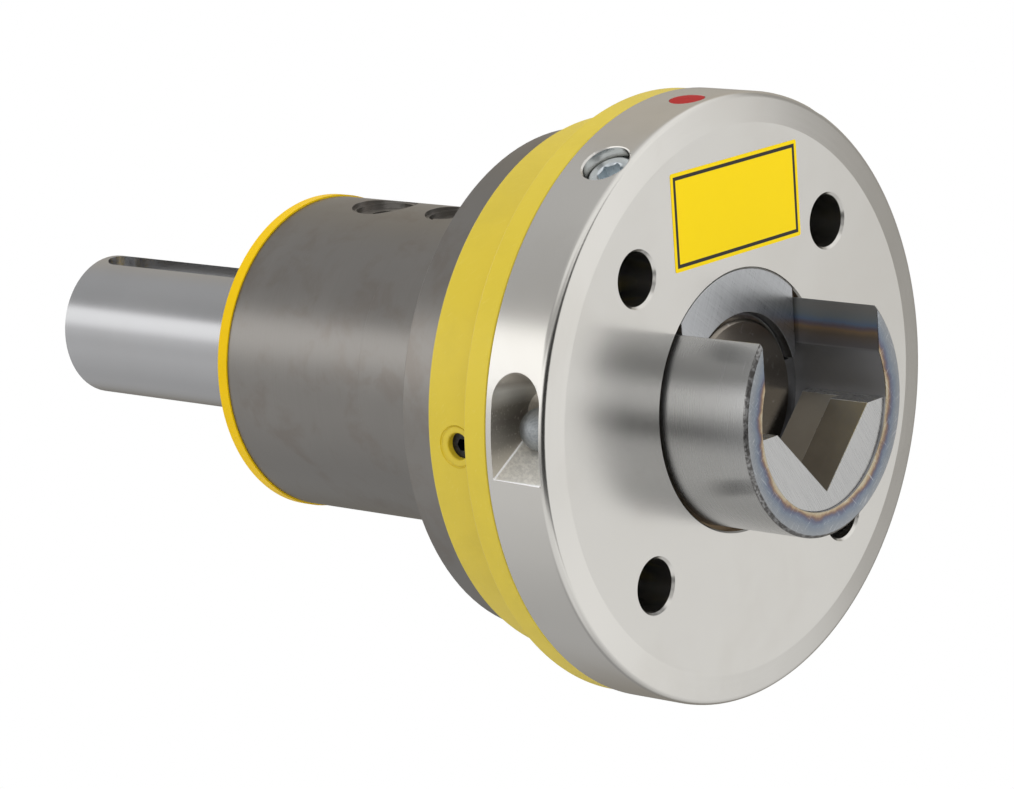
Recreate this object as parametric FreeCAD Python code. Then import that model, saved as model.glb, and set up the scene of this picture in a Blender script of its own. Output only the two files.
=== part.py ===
"""Winder safety chuck with a sliding handwheel, shown open.

The chuck axis lies along Y. The machine side is +Y and the side that takes the
square journal of the winding shaft is -Y. The origin is the centre of the
flange's seating face. +Z is up, and the slot of the jaw opens upward.
Clock angles are counted from the top (+Z) towards -X.
"""
import FreeCAD, Part
import os
from math import radians, sin, cos, sqrt, pi
from FreeCAD import Vector

os.makedirs("parts", exist_ok=True)

# Fits
RUNNING_GAP = 0.05        # radial, parts that slide or turn in one another
SEAT_GAP = 0.02           # radial, parts that are pressed or screwed in place
FREE_GAP = 0.5            # between parts that pass without touching
FACE_GAP = 0.3            # between a sliding part and the face it rests against

# Jaw: half-open sleeve with a V block for a square journal
JOURNAL_SQUARE = 40.0
JAW_BORE_R = 34.5
JAW_WALL = 8.9
JAW_REACH = 34.8          # the jaw stands this far out of the open handwheel
JAW_SLOT_HALF = 31.8
JAW_FRONT_CHAMFER = 1.0
V_SET_BACK = 1.0
V_TOP_DROP = 3.0          # the V block's top lies this far below the axis
V_SEAT_LENGTH = 16.0
V_BLOCK_LENGTH = 31.5
V_RELIEF = 3.5

# Handwheel
WHEEL_R = 105.0
WHEEL_WIDTH = 25.5
WHEEL_BORE_R = 45.0
WHEEL_EDGE_ROUND = 2.5
WHEEL_REAR_CHAMFER = 0.8
BEVEL_WIDTH = 10.5
BEVEL_DROP = 1.3
HUB_WALL = 13.0
HUB_LENGTH = 15.2
BORE_CHAMFER = 0.6
WHEEL_STROKE = JAW_REACH  # closed, the wheel's face is level with the jaw's front
ACCESS_HOLE_D = 18.5
ACCESS_HOLE_CHAMFER = 0.6
GUIDE_BUSH_FRONT = 4.7    # behind the wheel's face

# Closing segment, carried by the handwheel
SEGMENT_BORE_R = 30.0
SEGMENT_HALF = 30.6
SEGMENT_FOOT_Z = 8.0
SEGMENT_FOOT_ROUND = 3.5
SEGMENT_SCREW_ANGLE = 30.0
SEGMENT_SCREW_SETBACK = 9.2
SEGMENT_SCREW_TIP_R = 36.0

# Finger pocket and release button in the rim
POCKET_WIDTH = 20.0
POCKET_SETBACK = 12.5
POCKET_FLOOR_Z = -6.0
POCKET_TOP_AXIS_Z = 21.0
POCKET_SLOPE = 31.0
POCKET_DEPTH = 19.0
BUTTON_R = 7.2
BUTTON_Z = 9.0
BUTTON_DEPTH = 7.0        # from the rim's surface to the tip of the ball
BUTTON_TRAVEL = 3.0
BUTTON_COLLAR_R = 9.0
BUTTON_COLLAR = 4.0
STEM_R = 3.4
NECK_R = 2.0
NECK_FLANGE = 1.6         # thickness of the flange that ends the neck
SPRING_WIRE_R = 0.7
SPRING_COIL_R = 6.3
SPRING_TURNS = 5
SPRING_LENGTH = 10.9      # between the button's collar and the spring's seat
SPRING_SEAT = 3.0
SPRING_SEAT_GAP = 4.5     # from the seat to the pawl's eye
BUTTON_BORE_GAP = 0.1

# Lock pawl in the hub
PAWL_WIDTH = 9.6
PAWL_THICKNESS = 4.0
PAWL_TONGUE_RELIEF = 0.9  # taken off each side of the arm where the neck holds it
PAWL_PIVOT_DEPTH = 8.0    # from the handwheel's bore to the pivot
PAWL_PIVOT_FRONT = 0.8    # the pivot lies this far in front of the web's rear face
PAWL_ARM_END = 4.5        # from the button's axis to the end of the arm
PAWL_ROOM_END = 5.5
PAWL_ROOM_OUT = 2.5       # from the hub's outside to the room's outer wall
PAWL_ROOM_IN = 4.0
PAWL_SIDE_GAP = 0.2
FORK_GAP = 0.3
PAWL_EYE_R = 4.4
PAWL_PIN_R = 2.5
PAWL_PIN_LENGTH = 22.0
PAWL_NOSE = 3.5
NOSE_GROOVE_DEPTH = 3.0

# Red marker of the open side
MARKER_D = 13.0
MARKER_ANGLE = 4.5
MARKER_DEPTH = 0.6

# Guard ring
GUARD_GAP = 0.3
GUARD_LIP_SET_IN = 0.6    # the lip stays this far inside the handwheel's rim
GUARD_LIP_WIDTH = 9.1
GUARD_STEP = 10.4         # from the lip down to the ring's narrow part
GUARD_WALL = 8.0
GUARD_WIDTH = 24.9
GUARD_SCREW_HOLE_D = 9.0
GUARD_SPOT_D = 13.5
GUARD_SPOT_DEPTH = 0.6
GUARD_SCREW_SETBACK = 12.2
GUARD_SCREW_COUNT = 3
GUARD_SCREW_RECESS = 3.2

# Bearing housing
FLANGE_SET_IN = 5.5       # from the guard ring down to the flange
FLANGE_WIDTH = 17.0
PILOT_R = 57.5
PILOT_LENGTH = 48.2
BODY_RELIEF = 0.7         # the body behind the pilot is turned down by this
HOUSING_LENGTH = 112.7
SPIGOT_FRONT = 6.0        # the spigot stays this far behind the guard ring's front
CAVITY_GAP = 3.0          # between the handwheel's hub and the housing's cavity
BOLT_EDGE = 14.5          # from the bolt circle to the flange's rim
BOLT_COUNT = 4
BOLT_HOLE_D = 13.5
BOLT_HEAD_D = 19.0
BOLT_FLOOR = 14.0
HOUSING_BORE_R = 42.0
EDGE_CHAMFER = 1.0
PORT_D = 9.7
PORT_SPOT_D = 24.0
PORT_LEDGE_DEPTH = 2.3
PORT_FLOOR_D = 21.0
PORT_FLOOR_DEPTH = 4.0
PORT_CHAMFER = 0.8
PORT_YS = (47.1, 82.3)

# Bearings: bore, outside and width
FRONT_BEARING = dict(bore_r=35.0, outer_r=55.0, width=20.0)
REAR_BEARING = dict(bore_r=27.5, outer_r=45.0, width=18.0)
BALL_SHARE = 0.3175       # ball radius over the distance from bore to outside
BALL_SPACING = 1.7        # distance between ball centres over the ball's diameter
SHOULDER_SHARE = 0.62     # race shoulder over ball radius
FRONT_BEARING_SETBACK = 4.0
RACE_CLEARANCE = 0.25
POCKET_CLEARANCE = 0.35
CAGE_WALL = 3.0
CAGE_RIM = 1.2
RETAINER = 2.4
RETAINER_PLAY = 0.1
HOUSING_GROOVE = 2.2      # depth of the retaining ring's groove in the housing
SHAFT_GROOVE = 1.5        # depth of the retaining ring's groove in the shaft
GROOVE_ROOT_GAP = 0.1
RETAINER_STAND = 4.5      # how far the front ring stands into the bore
REAR_RETAINER_STAND = 3.5
RETAINER_SLIT = 14.0
SEAL_WIDTH = 6.5
SEAL_CASE = 1.6

# Rear cover
COVER_SET_IN = 0.1        # below the pilot, so that the cover passes the machine's bore
COVER_WIDTH = 4.7
COVER_SPIGOT = 4.7        # reaches into the housing as far as the rear bearing
COVER_SEAL_R = 35.0
COVER_SEAL_SETBACK = 0.6
COVER_LIP = 0.8
COVER_SCREW_COUNT = 4

# Shaft
SHAFT_R = 26.25
JOURNAL_LENGTH = 112.8    # from the cover to the shaft's end
SEAL_LAND_END = 0.3       # the seal's land ends this far behind the cover
SHAFT_MID_R = 31.0
SHAFT_END_CHAMFER = 1.2
COLLAR_R = 43.0
HEAD_SETBACK = 2.7
NOSE_R = 27.7
NOSE_SETBACK = 1.0        # behind the open handwheel's face, at the nose's front
KEYWAY_WIDTH = 14.0
KEYWAY_DEPTH = 5.5
KEYWAY_START = 6.0        # from the cover to the keyway's inner end
KEYWAY_END = 4.0          # from the rounded end to the shaft's end
SPACER_WALL = 6.0

# Screws: shank and head, radius and height of the head, hexagon across flats
M10 = dict(shank_r=5.0, head_r=8.0, head=10.0, key=8.0)
M5 = dict(shank_r=2.5, head_r=4.25, head=5.0, key=4.0)
M5_FLAT = dict(shank_r=2.5, head_r=4.6, head=2.8, key=3.0)
M8_FLAT = dict(shank_r=4.0, head_r=7.4, head=4.4, key=5.0)
SEGMENT_SCREW_RECESS = 4.0
JAW_SCREW_COUNT = 4
JAW_SCREW_LENGTH = 11.5
COVER_SCREW_LENGTH = 14.0
V_SCREW_LENGTH = 12.5
V_SCREW_RECESS = 0.6
COUNTERBORE_GAP = 0.5
SCREW_ROOM = 0.3

# Radii that follow from the sizes above
GUARD_LIP_R = WHEEL_R - GUARD_LIP_SET_IN
GUARD_R = GUARD_LIP_R - GUARD_STEP
FLANGE_R = GUARD_R - FLANGE_SET_IN
BOLT_CIRCLE_R = FLANGE_R - BOLT_EDGE
JAW_R = JAW_BORE_R + JAW_WALL
HUB_R = WHEEL_BORE_R + HUB_WALL
HOUSING_CAVITY_R = HUB_R + CAVITY_GAP
COVER_R = PILOT_R - COVER_SET_IN

# Stations along the axis, worked out from the sizes above
FLANGE_FRONT = -FLANGE_WIDTH
GUARD_FRONT = FLANGE_FRONT - GUARD_WIDTH - GUARD_LIP_WIDTH
WHEEL_REAR = GUARD_FRONT - GUARD_GAP
WHEEL_FACE = WHEEL_REAR - WHEEL_WIDTH
JAW_FRONT = WHEEL_FACE - JAW_REACH
HUB_REAR = WHEEL_REAR + HUB_LENGTH
SEGMENT_REAR = WHEEL_FACE + WHEEL_STROKE
SLOT_END = SEGMENT_REAR + FACE_GAP
SPIGOT_Y = GUARD_FRONT + SPIGOT_FRONT
BEARING_REAR = -FRONT_BEARING_SETBACK
BEARING_FRONT = BEARING_REAR - FRONT_BEARING["width"]
SEAL_FRONT = BEARING_FRONT - RETAINER - 2 * FACE_GAP - SEAL_WIDTH
COLLAR_FRONT = SEAL_FRONT
REAR_BEARING_END = HOUSING_LENGTH - COVER_SPIGOT
REAR_BEARING_Y = REAR_BEARING_END - REAR_BEARING["width"]
COVER_REAR = HOUSING_LENGTH + COVER_WIDTH
SHAFT_END = COVER_REAR + JOURNAL_LENGTH
HEAD_FRONT = WHEEL_FACE + NOSE_SETBACK + HEAD_SETBACK
POCKET_Y = WHEEL_FACE + POCKET_SETBACK
BUTTON_X = -WHEEL_R + BUTTON_DEPTH + BUTTON_R
PAWL_PIVOT_X = -WHEEL_BORE_R - PAWL_PIVOT_DEPTH
PAWL_PIVOT_Y = WHEEL_REAR - PAWL_PIVOT_FRONT
SPRING_END_X = PAWL_PIVOT_X - PAWL_EYE_R - SPRING_SEAT_GAP - SPRING_SEAT
SPRING_START_X = SPRING_END_X - SPRING_LENGTH
BUTTON_COLLAR_X = SPRING_START_X - BUTTON_COLLAR
NOSE_REAR = HUB_REAR - FACE_GAP
SEGMENT_SCREW_Y = WHEEL_FACE + SEGMENT_SCREW_SETBACK

ORIGIN = Vector(0, 0, 0)
AXIS_X = Vector(1, 0, 0)
AXIS_Y = Vector(0, 1, 0)
AXIS_Z = Vector(0, 0, 1)
LONG = 400.0


def turned(points):
    """Solid turned about the chuck axis from (radius, y) points."""
    corners = [Vector(radius, y, 0) for radius, y in points]
    wire = Part.makePolygon(corners + corners[:1])
    return Part.Face(wire).revolve(ORIGIN, AXIS_Y, 360)


def ring(outer_r, inner_r, start, end):
    """Plain ring between two stations."""
    return turned([(inner_r, start), (outer_r, start), (outer_r, end), (inner_r, end)])


def disc(radius, start, end):
    """Plain cylinder on the chuck axis."""
    return Part.makeCylinder(radius, end - start, Vector(0, start, 0), AXIS_Y)


def outward(angle):
    """Unit vector that points out from the axis at a clock angle."""
    return Vector(-sin(radians(angle)), 0, cos(radians(angle)))


def at_clock(angle, radius, y):
    """Point at a clock angle, radius and station."""
    return outward(angle) * radius + Vector(0, y, 0)


def box(x0, x1, y0, y1, z0, z1):
    """Block between two corners."""
    return Part.makeBox(x1 - x0, y1 - y0, z1 - z0, Vector(x0, y0, z0))


def extruded(points, start, direction):
    """Prism from corner points, pushed along a direction."""
    corners = [start + point for point in points]
    return Part.Face(Part.makePolygon(corners + corners[:1])).extrude(direction)


def hexagon_socket(key, foot, direction, depth):
    """Hexagonal prism whose foot is centred on a point."""
    corner_r = key / sqrt(3)
    side = direction.cross(AXIS_X) if abs(direction.x) < 0.9 else direction.cross(AXIS_Z)
    side.normalize()
    other = direction.cross(side)
    corners = [
        foot + side * (corner_r * cos(k * pi / 3)) + other * (corner_r * sin(k * pi / 3))
        for k in range(6)
    ]
    return Part.Face(Part.makePolygon(corners + corners[:1])).extrude(direction * depth)


def cap_screw(size, under_head, tip, out):
    """Socket-head cap screw with its head's seat at one point."""
    length = (under_head - tip).Length
    shank = Part.makeCylinder(size["shank_r"], length, tip, out)
    head = Part.makeCylinder(size["head_r"], size["head"], under_head, out)
    rim = [e for e in head.Edges if e.BoundBox.DiagonalLength > size["head_r"]]
    top = under_head + out * size["head"]
    far = [e for e in rim if abs((e.CenterOfMass - top).dot(out)) < 0.01]
    head = head.makeChamfer(size["head_r"] * 0.08, far)
    socket = hexagon_socket(size["key"], top - out * size["head"] * 0.5, out, size["head"])
    return shank.fuse(head).removeSplitter().cut(socket)


def flat_screw(size, face, out, length):
    """Countersunk screw whose head is level with a point."""
    cone_foot = face - out * size["head"]
    cone = Part.makeCone(size["shank_r"], size["head_r"], size["head"], cone_foot, out)
    shank = Part.makeCylinder(size["shank_r"], length - size["head"], face - out * length, out)
    socket = hexagon_socket(size["key"], face - out * size["head"] * 0.7, out, size["head"])
    return cone.fuse(shank).removeSplitter().cut(socket)


def countersunk_hole(size, face, out, length):
    """Cutter for a countersunk screw and its shank."""
    gap = SEAT_GAP
    head_r = size["head_r"] + gap
    cone_foot = face - out * size["head"]
    cone = Part.makeCone(size["shank_r"] + gap, head_r, size["head"], cone_foot, out)
    mouth = Part.makeCylinder(head_r, 3, face, out)
    shank = Part.makeCylinder(size["shank_r"] + gap, length, face - out * length, out)
    return cone.fuse([mouth, shank])


def circle_edges(shape, radius, y):
    """Circular edges about the chuck axis with this radius and station."""
    found = []
    for edge in shape.Edges:
        curve = edge.Curve
        if isinstance(curve, Part.Circle) and abs(curve.Radius - radius) < 0.01:
            on_axis = abs(curve.Center.x) < 0.01 and abs(curve.Center.z) < 0.01
            if on_axis and abs(curve.Center.y - y) < 0.01:
                found.append(edge)
    return found


def solid_group(solids):
    """Separate solids kept together in one node."""
    return Part.makeCompound(solids)


def bolt_angles():
    """Clock angles of the mounting bolts."""
    return [360 / BOLT_COUNT * (k + 0.5) for k in range(BOLT_COUNT)]


def guard_screw_angles():
    """Clock angles of the guard ring's set screws, the first on the -X side."""
    return [90 + 360 / GUARD_SCREW_COUNT * k for k in range(GUARD_SCREW_COUNT)]


def make_housing():
    """Flanged bearing housing: spigot, flange, pilot and bores in one piece."""
    spigot_r = GUARD_R - GUARD_WALL - SEAT_GAP
    body_r = PILOT_R - BODY_RELIEF
    rear_seat_r = REAR_BEARING["outer_r"]
    front_seat_r = FRONT_BEARING["outer_r"]
    cavity_end = SEAL_FRONT - FACE_GAP
    body = turned([
        (HOUSING_CAVITY_R, SPIGOT_Y), (spigot_r - EDGE_CHAMFER, SPIGOT_Y),
        (spigot_r, SPIGOT_Y + EDGE_CHAMFER), (spigot_r, FLANGE_FRONT),
        (FLANGE_R - EDGE_CHAMFER, FLANGE_FRONT), (FLANGE_R, FLANGE_FRONT + EDGE_CHAMFER),
        (FLANGE_R, -EDGE_CHAMFER), (FLANGE_R - EDGE_CHAMFER, 0), (PILOT_R, 0),
        (PILOT_R, PILOT_LENGTH), (body_r, PILOT_LENGTH + BODY_RELIEF),
        (body_r, HOUSING_LENGTH), (rear_seat_r, HOUSING_LENGTH),
        (rear_seat_r, REAR_BEARING_Y), (HOUSING_BORE_R, REAR_BEARING_Y),
        (HOUSING_BORE_R, BEARING_REAR + 2), (front_seat_r - 6, BEARING_REAR + 2),
        (front_seat_r - 6, BEARING_REAR), (front_seat_r, BEARING_REAR),
        (front_seat_r, cavity_end), (HOUSING_CAVITY_R, cavity_end),
    ])
    groove_start = BEARING_FRONT - RETAINER - FACE_GAP
    groove = ring(front_seat_r + HOUSING_GROOVE, front_seat_r - 1, groove_start, BEARING_FRONT)
    cuts = [groove]
    for angle in bolt_angles():
        seat = at_clock(angle, BOLT_CIRCLE_R, -BOLT_FLOOR)
        cuts.append(Part.makeCylinder(BOLT_HOLE_D / 2, 2 * BOLT_FLOOR, seat, AXIS_Y))
        cuts.append(Part.makeCylinder(BOLT_HEAD_D / 2, LONG, seat, -AXIS_Y))
    for y in PORT_YS:
        spot_r = PORT_SPOT_D / 2
        rim = Vector(0, y, PILOT_R - PORT_CHAMFER)
        ledge = Vector(0, y, PILOT_R - PORT_LEDGE_DEPTH)
        floor = Vector(0, y, PILOT_R - PORT_FLOOR_DEPTH)
        cuts.append(Part.makeCylinder(spot_r, PORT_SPOT_D, ledge, AXIS_Z))
        cuts.append(Part.makeCylinder(PORT_FLOOR_D / 2, PORT_SPOT_D, floor, AXIS_Z))
        cuts.append(Part.makeCone(spot_r, spot_r + 4, 4, rim, AXIS_Z))
        cuts.append(Part.makeCylinder(PORT_D / 2, HOUSING_BORE_R, Vector(0, y, HOUSING_BORE_R / 2), AXIS_Z))
    for angle in cover_screw_angles():
        foot = at_clock(angle, cover_screw_r(), HOUSING_LENGTH)
        cuts.append(Part.makeCylinder(M5_FLAT["shank_r"] + SEAT_GAP, COVER_SCREW_LENGTH, foot, -AXIS_Y))
    return body.cut(cuts).removeSplitter()


def make_guard_ring():
    """Yellow ring with a wide lip next to the handwheel."""
    inner_r = GUARD_R - GUARD_WALL
    lip_end = GUARD_FRONT + GUARD_LIP_WIDTH
    body = turned([
        (inner_r, GUARD_FRONT), (GUARD_LIP_R - EDGE_CHAMFER / 2, GUARD_FRONT),
        (GUARD_LIP_R, GUARD_FRONT + EDGE_CHAMFER / 2), (GUARD_LIP_R, lip_end - EDGE_CHAMFER / 2),
        (GUARD_LIP_R - EDGE_CHAMFER / 2, lip_end), (GUARD_R, lip_end),
        (GUARD_R, FLANGE_FRONT), (inner_r, FLANGE_FRONT),
    ])
    cuts = []
    for angle in guard_screw_angles():
        foot = at_clock(angle, inner_r - 4, FLANGE_FRONT - GUARD_SCREW_SETBACK)
        out = outward(angle)
        spot = at_clock(angle, GUARD_R - GUARD_SPOT_DEPTH, FLANGE_FRONT - GUARD_SCREW_SETBACK)
        cuts.append(Part.makeCylinder(GUARD_SCREW_HOLE_D / 2, 2 * GUARD_WALL, foot, out))
        cuts.append(Part.makeCylinder(GUARD_SPOT_D / 2, GUARD_WALL, spot, out))
    return body.cut(cuts)


def make_guard_ring_screws():
    """Socket set screws that hold the guard ring on the housing's spigot."""
    foot_r = GUARD_R - GUARD_WALL - SEAT_GAP + 0.01
    top_r = GUARD_R - GUARD_SCREW_RECESS
    screw_r = GUARD_SCREW_HOLE_D / 2 - SEAT_GAP
    screws = []
    for angle in guard_screw_angles():
        foot = at_clock(angle, foot_r, FLANGE_FRONT - GUARD_SCREW_SETBACK)
        out = outward(angle)
        body = Part.makeCylinder(screw_r, top_r - foot_r, foot, out)
        key = hexagon_socket(4.0, foot + out * 1.6, out, 10)
        screws.append(body.cut(key))
    return solid_group(screws)


def make_front_retainer():
    """Internal retaining ring in front of the front bearing, open at the bottom."""
    seat_r = FRONT_BEARING["outer_r"]
    start = BEARING_FRONT - RETAINER - RETAINER_PLAY
    groove_r = seat_r + HOUSING_GROOVE - GROOVE_ROOT_GAP
    body = ring(groove_r, seat_r - RETAINER_STAND, start, start + RETAINER)
    half = RETAINER_SLIT / 2
    gap = box(-half, half, start - 1, start + RETAINER + 1, -2 * seat_r, 0)
    return body.cut(gap)


def make_rear_retainer():
    """External retaining ring behind the rear bearing, open at the bottom."""
    seat_r = REAR_BEARING["bore_r"]
    start = REAR_BEARING_END + RETAINER_PLAY / 2
    groove_r = seat_r - SHAFT_GROOVE + GROOVE_ROOT_GAP
    body = ring(seat_r + REAR_RETAINER_STAND, groove_r, start, start + RETAINER)
    half = RETAINER_SLIT / 3
    gap = box(-half, half, start - 1, start + RETAINER + 1, -2 * seat_r, 0)
    return body.cut(gap)


def make_front_seal():
    """Radial shaft seal that runs on the shaft's collar."""
    outer_r = FRONT_BEARING["outer_r"] - SEAT_GAP
    lip_r = COLLAR_R + RUNNING_GAP
    end = SEAL_FRONT + SEAL_WIDTH
    return turned([
        (outer_r, SEAL_FRONT), (outer_r, end), (outer_r - SEAL_CASE, end),
        (outer_r - SEAL_CASE, SEAL_FRONT + SEAL_CASE), (lip_r + 3.4, SEAL_FRONT + SEAL_CASE),
        (lip_r + 2.4, end - 1), (lip_r + 1, end - 1), (lip_r, end - 2),
        (lip_r + SEAL_CASE, SEAL_FRONT),
    ])


def make_rear_seal():
    """Radial shaft seal in the rear cover."""
    outer_r = COVER_SEAL_R - SEAT_GAP
    lip_r = REAR_BEARING["bore_r"] + RUNNING_GAP
    end = COVER_REAR - COVER_SEAL_SETBACK
    start = end - SEAL_WIDTH + COVER_LIP
    return turned([
        (outer_r, start), (outer_r, end), (lip_r + SEAL_CASE, end), (lip_r, start + 2),
        (lip_r + 1, start + 1), (lip_r + 2.4, start + 1), (lip_r + 3.4, end - SEAL_CASE),
        (outer_r - SEAL_CASE, end - SEAL_CASE), (outer_r - SEAL_CASE, start),
    ])


def pitch_r(bearing):
    """Radius of the circle on which the balls run."""
    return (bearing["bore_r"] + bearing["outer_r"]) / 2


def ball_r(bearing):
    """Radius of one ball."""
    return BALL_SHARE * (bearing["outer_r"] - bearing["bore_r"])


def race_groove(bearing, start):
    """Ring of round section that cuts both raceways."""
    groove_r = ball_r(bearing) + RACE_CLEARANCE
    middle = start + bearing["width"] / 2
    centre = Vector(pitch_r(bearing), middle, 0)
    circle = Part.Wire(Part.makeCircle(groove_r, centre, AXIS_Z))
    return Part.Face(circle).revolve(ORIGIN, AXIS_Y, 360)


def shoulder(bearing):
    """Distance from the pitch circle to each race's shoulder."""
    return ball_r(bearing) * SHOULDER_SHARE


def make_outer_race(bearing, start):
    """Outer ring of a deep-groove ball bearing."""
    inner_r = pitch_r(bearing) + shoulder(bearing)
    blank = ring(bearing["outer_r"] - SEAT_GAP, inner_r, start, start + bearing["width"])
    return blank.cut(race_groove(bearing, start))


def make_inner_race(bearing, start):
    """Inner ring of a deep-groove ball bearing."""
    outer_r = pitch_r(bearing) - shoulder(bearing)
    blank = ring(outer_r, bearing["bore_r"] + SEAT_GAP, start, start + bearing["width"])
    return blank.cut(race_groove(bearing, start))


def ball_centres(bearing, start):
    """Centres of the balls around the pitch circle."""
    middle = start + bearing["width"] / 2
    count = int(pi * pitch_r(bearing) / (ball_r(bearing) * BALL_SPACING))
    return [at_clock(360 / count * k, pitch_r(bearing), middle) for k in range(count)]


def make_balls(bearing, start):
    """The balls of one bearing."""
    centres = ball_centres(bearing, start)
    return solid_group([Part.makeSphere(ball_r(bearing), centre) for centre in centres])


def make_cage(bearing, start):
    """Solid cage with one round pocket for each ball."""
    middle = start + bearing["width"] / 2
    reach = ball_r(bearing) + CAGE_RIM
    centre_r = pitch_r(bearing)
    blank = ring(centre_r + CAGE_WALL / 2, centre_r - CAGE_WALL / 2, middle - reach, middle + reach)
    pockets = []
    for centre in ball_centres(bearing, start):
        out = Vector(centre.x, 0, centre.z)
        out.normalize()
        pocket_r = ball_r(bearing) + POCKET_CLEARANCE
        pockets.append(Part.makeCylinder(pocket_r, 4 * CAGE_WALL, centre - out * 2 * CAGE_WALL, out))
    return blank.cut(pockets)


def cover_screw_r():
    """Radius of the rear cover's screw circle, in the middle of the housing's wall."""
    return (REAR_BEARING["outer_r"] + PILOT_R - BODY_RELIEF) / 2


def cover_screw_angles():
    """Clock angles of the rear cover's screws."""
    return [360 / COVER_SCREW_COUNT * (k + 0.5) for k in range(COVER_SCREW_COUNT)]


def make_rear_cover():
    """Yellow cover that closes the rear bearing."""
    spigot_r = REAR_BEARING["outer_r"] - SEAT_GAP
    start = REAR_BEARING_END + SEAT_GAP
    recess_end = COVER_REAR - COVER_SEAL_SETBACK - SEAL_WIDTH + COVER_LIP
    body = turned([
        (COVER_SEAL_R + 3, start), (spigot_r, start), (spigot_r, HOUSING_LENGTH),
        (COVER_R, HOUSING_LENGTH), (COVER_R, COVER_REAR - EDGE_CHAMFER / 2),
        (COVER_R - EDGE_CHAMFER / 2, COVER_REAR), (COVER_SEAL_R, COVER_REAR),
        (COVER_SEAL_R, recess_end), (COVER_SEAL_R + 3, recess_end),
    ])
    cuts = []
    for angle in cover_screw_angles():
        face = at_clock(angle, cover_screw_r(), COVER_REAR)
        cuts.append(countersunk_hole(M5_FLAT, face, AXIS_Y, COVER_SCREW_LENGTH))
    return body.cut(cuts)


def make_rear_cover_screws():
    """Countersunk screws of the rear cover."""
    faces = [at_clock(angle, cover_screw_r(), COVER_REAR) for angle in cover_screw_angles()]
    return solid_group([flat_screw(M5_FLAT, face, AXIS_Y, COVER_SCREW_LENGTH) for face in faces])


def segment_room(half, foot_z, start, end):
    """Straight-sided room above the axis for the closing segment."""
    return box(-half, half, start, end, foot_z, WHEEL_R)


def make_main_shaft():
    """Through shaft with head, collar, bearing seats, journal and keyway."""
    head_r = JAW_BORE_R - SEAT_GAP
    front_seat_r = FRONT_BEARING["bore_r"]
    rear_seat_r = REAR_BEARING["bore_r"]
    groove_r = rear_seat_r - SHAFT_GROOVE
    groove_end = REAR_BEARING_END + RETAINER_PLAY + RETAINER
    land_end = COVER_REAR + SEAL_LAND_END
    body = turned([
        (0, HEAD_FRONT - HEAD_SETBACK), (NOSE_R - EDGE_CHAMFER, HEAD_FRONT - HEAD_SETBACK),
        (NOSE_R, HEAD_FRONT - HEAD_SETBACK + EDGE_CHAMFER), (NOSE_R, HEAD_FRONT),
        (head_r, HEAD_FRONT), (head_r, COLLAR_FRONT), (COLLAR_R, COLLAR_FRONT),
        (COLLAR_R, BEARING_FRONT), (front_seat_r, BEARING_FRONT), (front_seat_r, BEARING_REAR),
        (SHAFT_MID_R, BEARING_REAR), (SHAFT_MID_R, REAR_BEARING_Y),
        (rear_seat_r, REAR_BEARING_Y), (rear_seat_r, REAR_BEARING_END),
        (groove_r, REAR_BEARING_END), (groove_r, groove_end), (rear_seat_r, groove_end),
        (rear_seat_r, land_end), (SHAFT_R, land_end),
        (SHAFT_R, SHAFT_END - SHAFT_END_CHAMFER), (SHAFT_R - SHAFT_END_CHAMFER, SHAFT_END),
        (0, SHAFT_END),
    ])
    room = segment_room(SEGMENT_HALF + FREE_GAP, SEGMENT_FOOT_Z - FREE_GAP, HEAD_FRONT - 5, SLOT_END)
    core = disc(SEGMENT_BORE_R - FACE_GAP, HEAD_FRONT - 6, SLOT_END + 1)
    keyway_floor = SHAFT_R - KEYWAY_DEPTH
    half = KEYWAY_WIDTH / 2
    inner_y = COVER_REAR + KEYWAY_START + half
    outer_y = SHAFT_END - KEYWAY_END - half
    keyway = [box(-half, half, inner_y, outer_y, keyway_floor, 2 * SHAFT_R)]
    for y in (inner_y, outer_y):
        keyway.append(Part.makeCylinder(half, SHAFT_R, Vector(0, y, keyway_floor), AXIS_Z))
    cuts = [room.cut(core)] + keyway
    for foot in jaw_screw_seats():
        cuts.append(Part.makeCylinder(M5["head_r"] + SCREW_ROOM, 2 * M5["head"], foot, AXIS_Y))
        cuts.append(Part.makeCylinder(M5["shank_r"] + SCREW_ROOM, 2 * JAW_SCREW_LENGTH, foot, -AXIS_Y))
    centre_drill = Part.makeCone(5, 0, 5, Vector(0, SHAFT_END, 0), -AXIS_Y)
    return body.cut(cuts + [centre_drill])


def jaw_screw_seats():
    """Seats of the screws that pull the jaw sleeve against the collar."""
    radius = COLLAR_R - M5["head_r"] - FREE_GAP
    seat_y = BEARING_FRONT - M5["head"] - 0.2
    step = 360 / JAW_SCREW_COUNT
    return [at_clock(step * (k + 0.5), radius, seat_y) for k in range(JAW_SCREW_COUNT)]


def make_jaw_screws():
    """Cap screws through the collar into the jaw sleeve."""
    tip = Vector(0, -JAW_SCREW_LENGTH, 0)
    return solid_group([cap_screw(M5, seat, seat + tip, AXIS_Y) for seat in jaw_screw_seats()])


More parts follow.
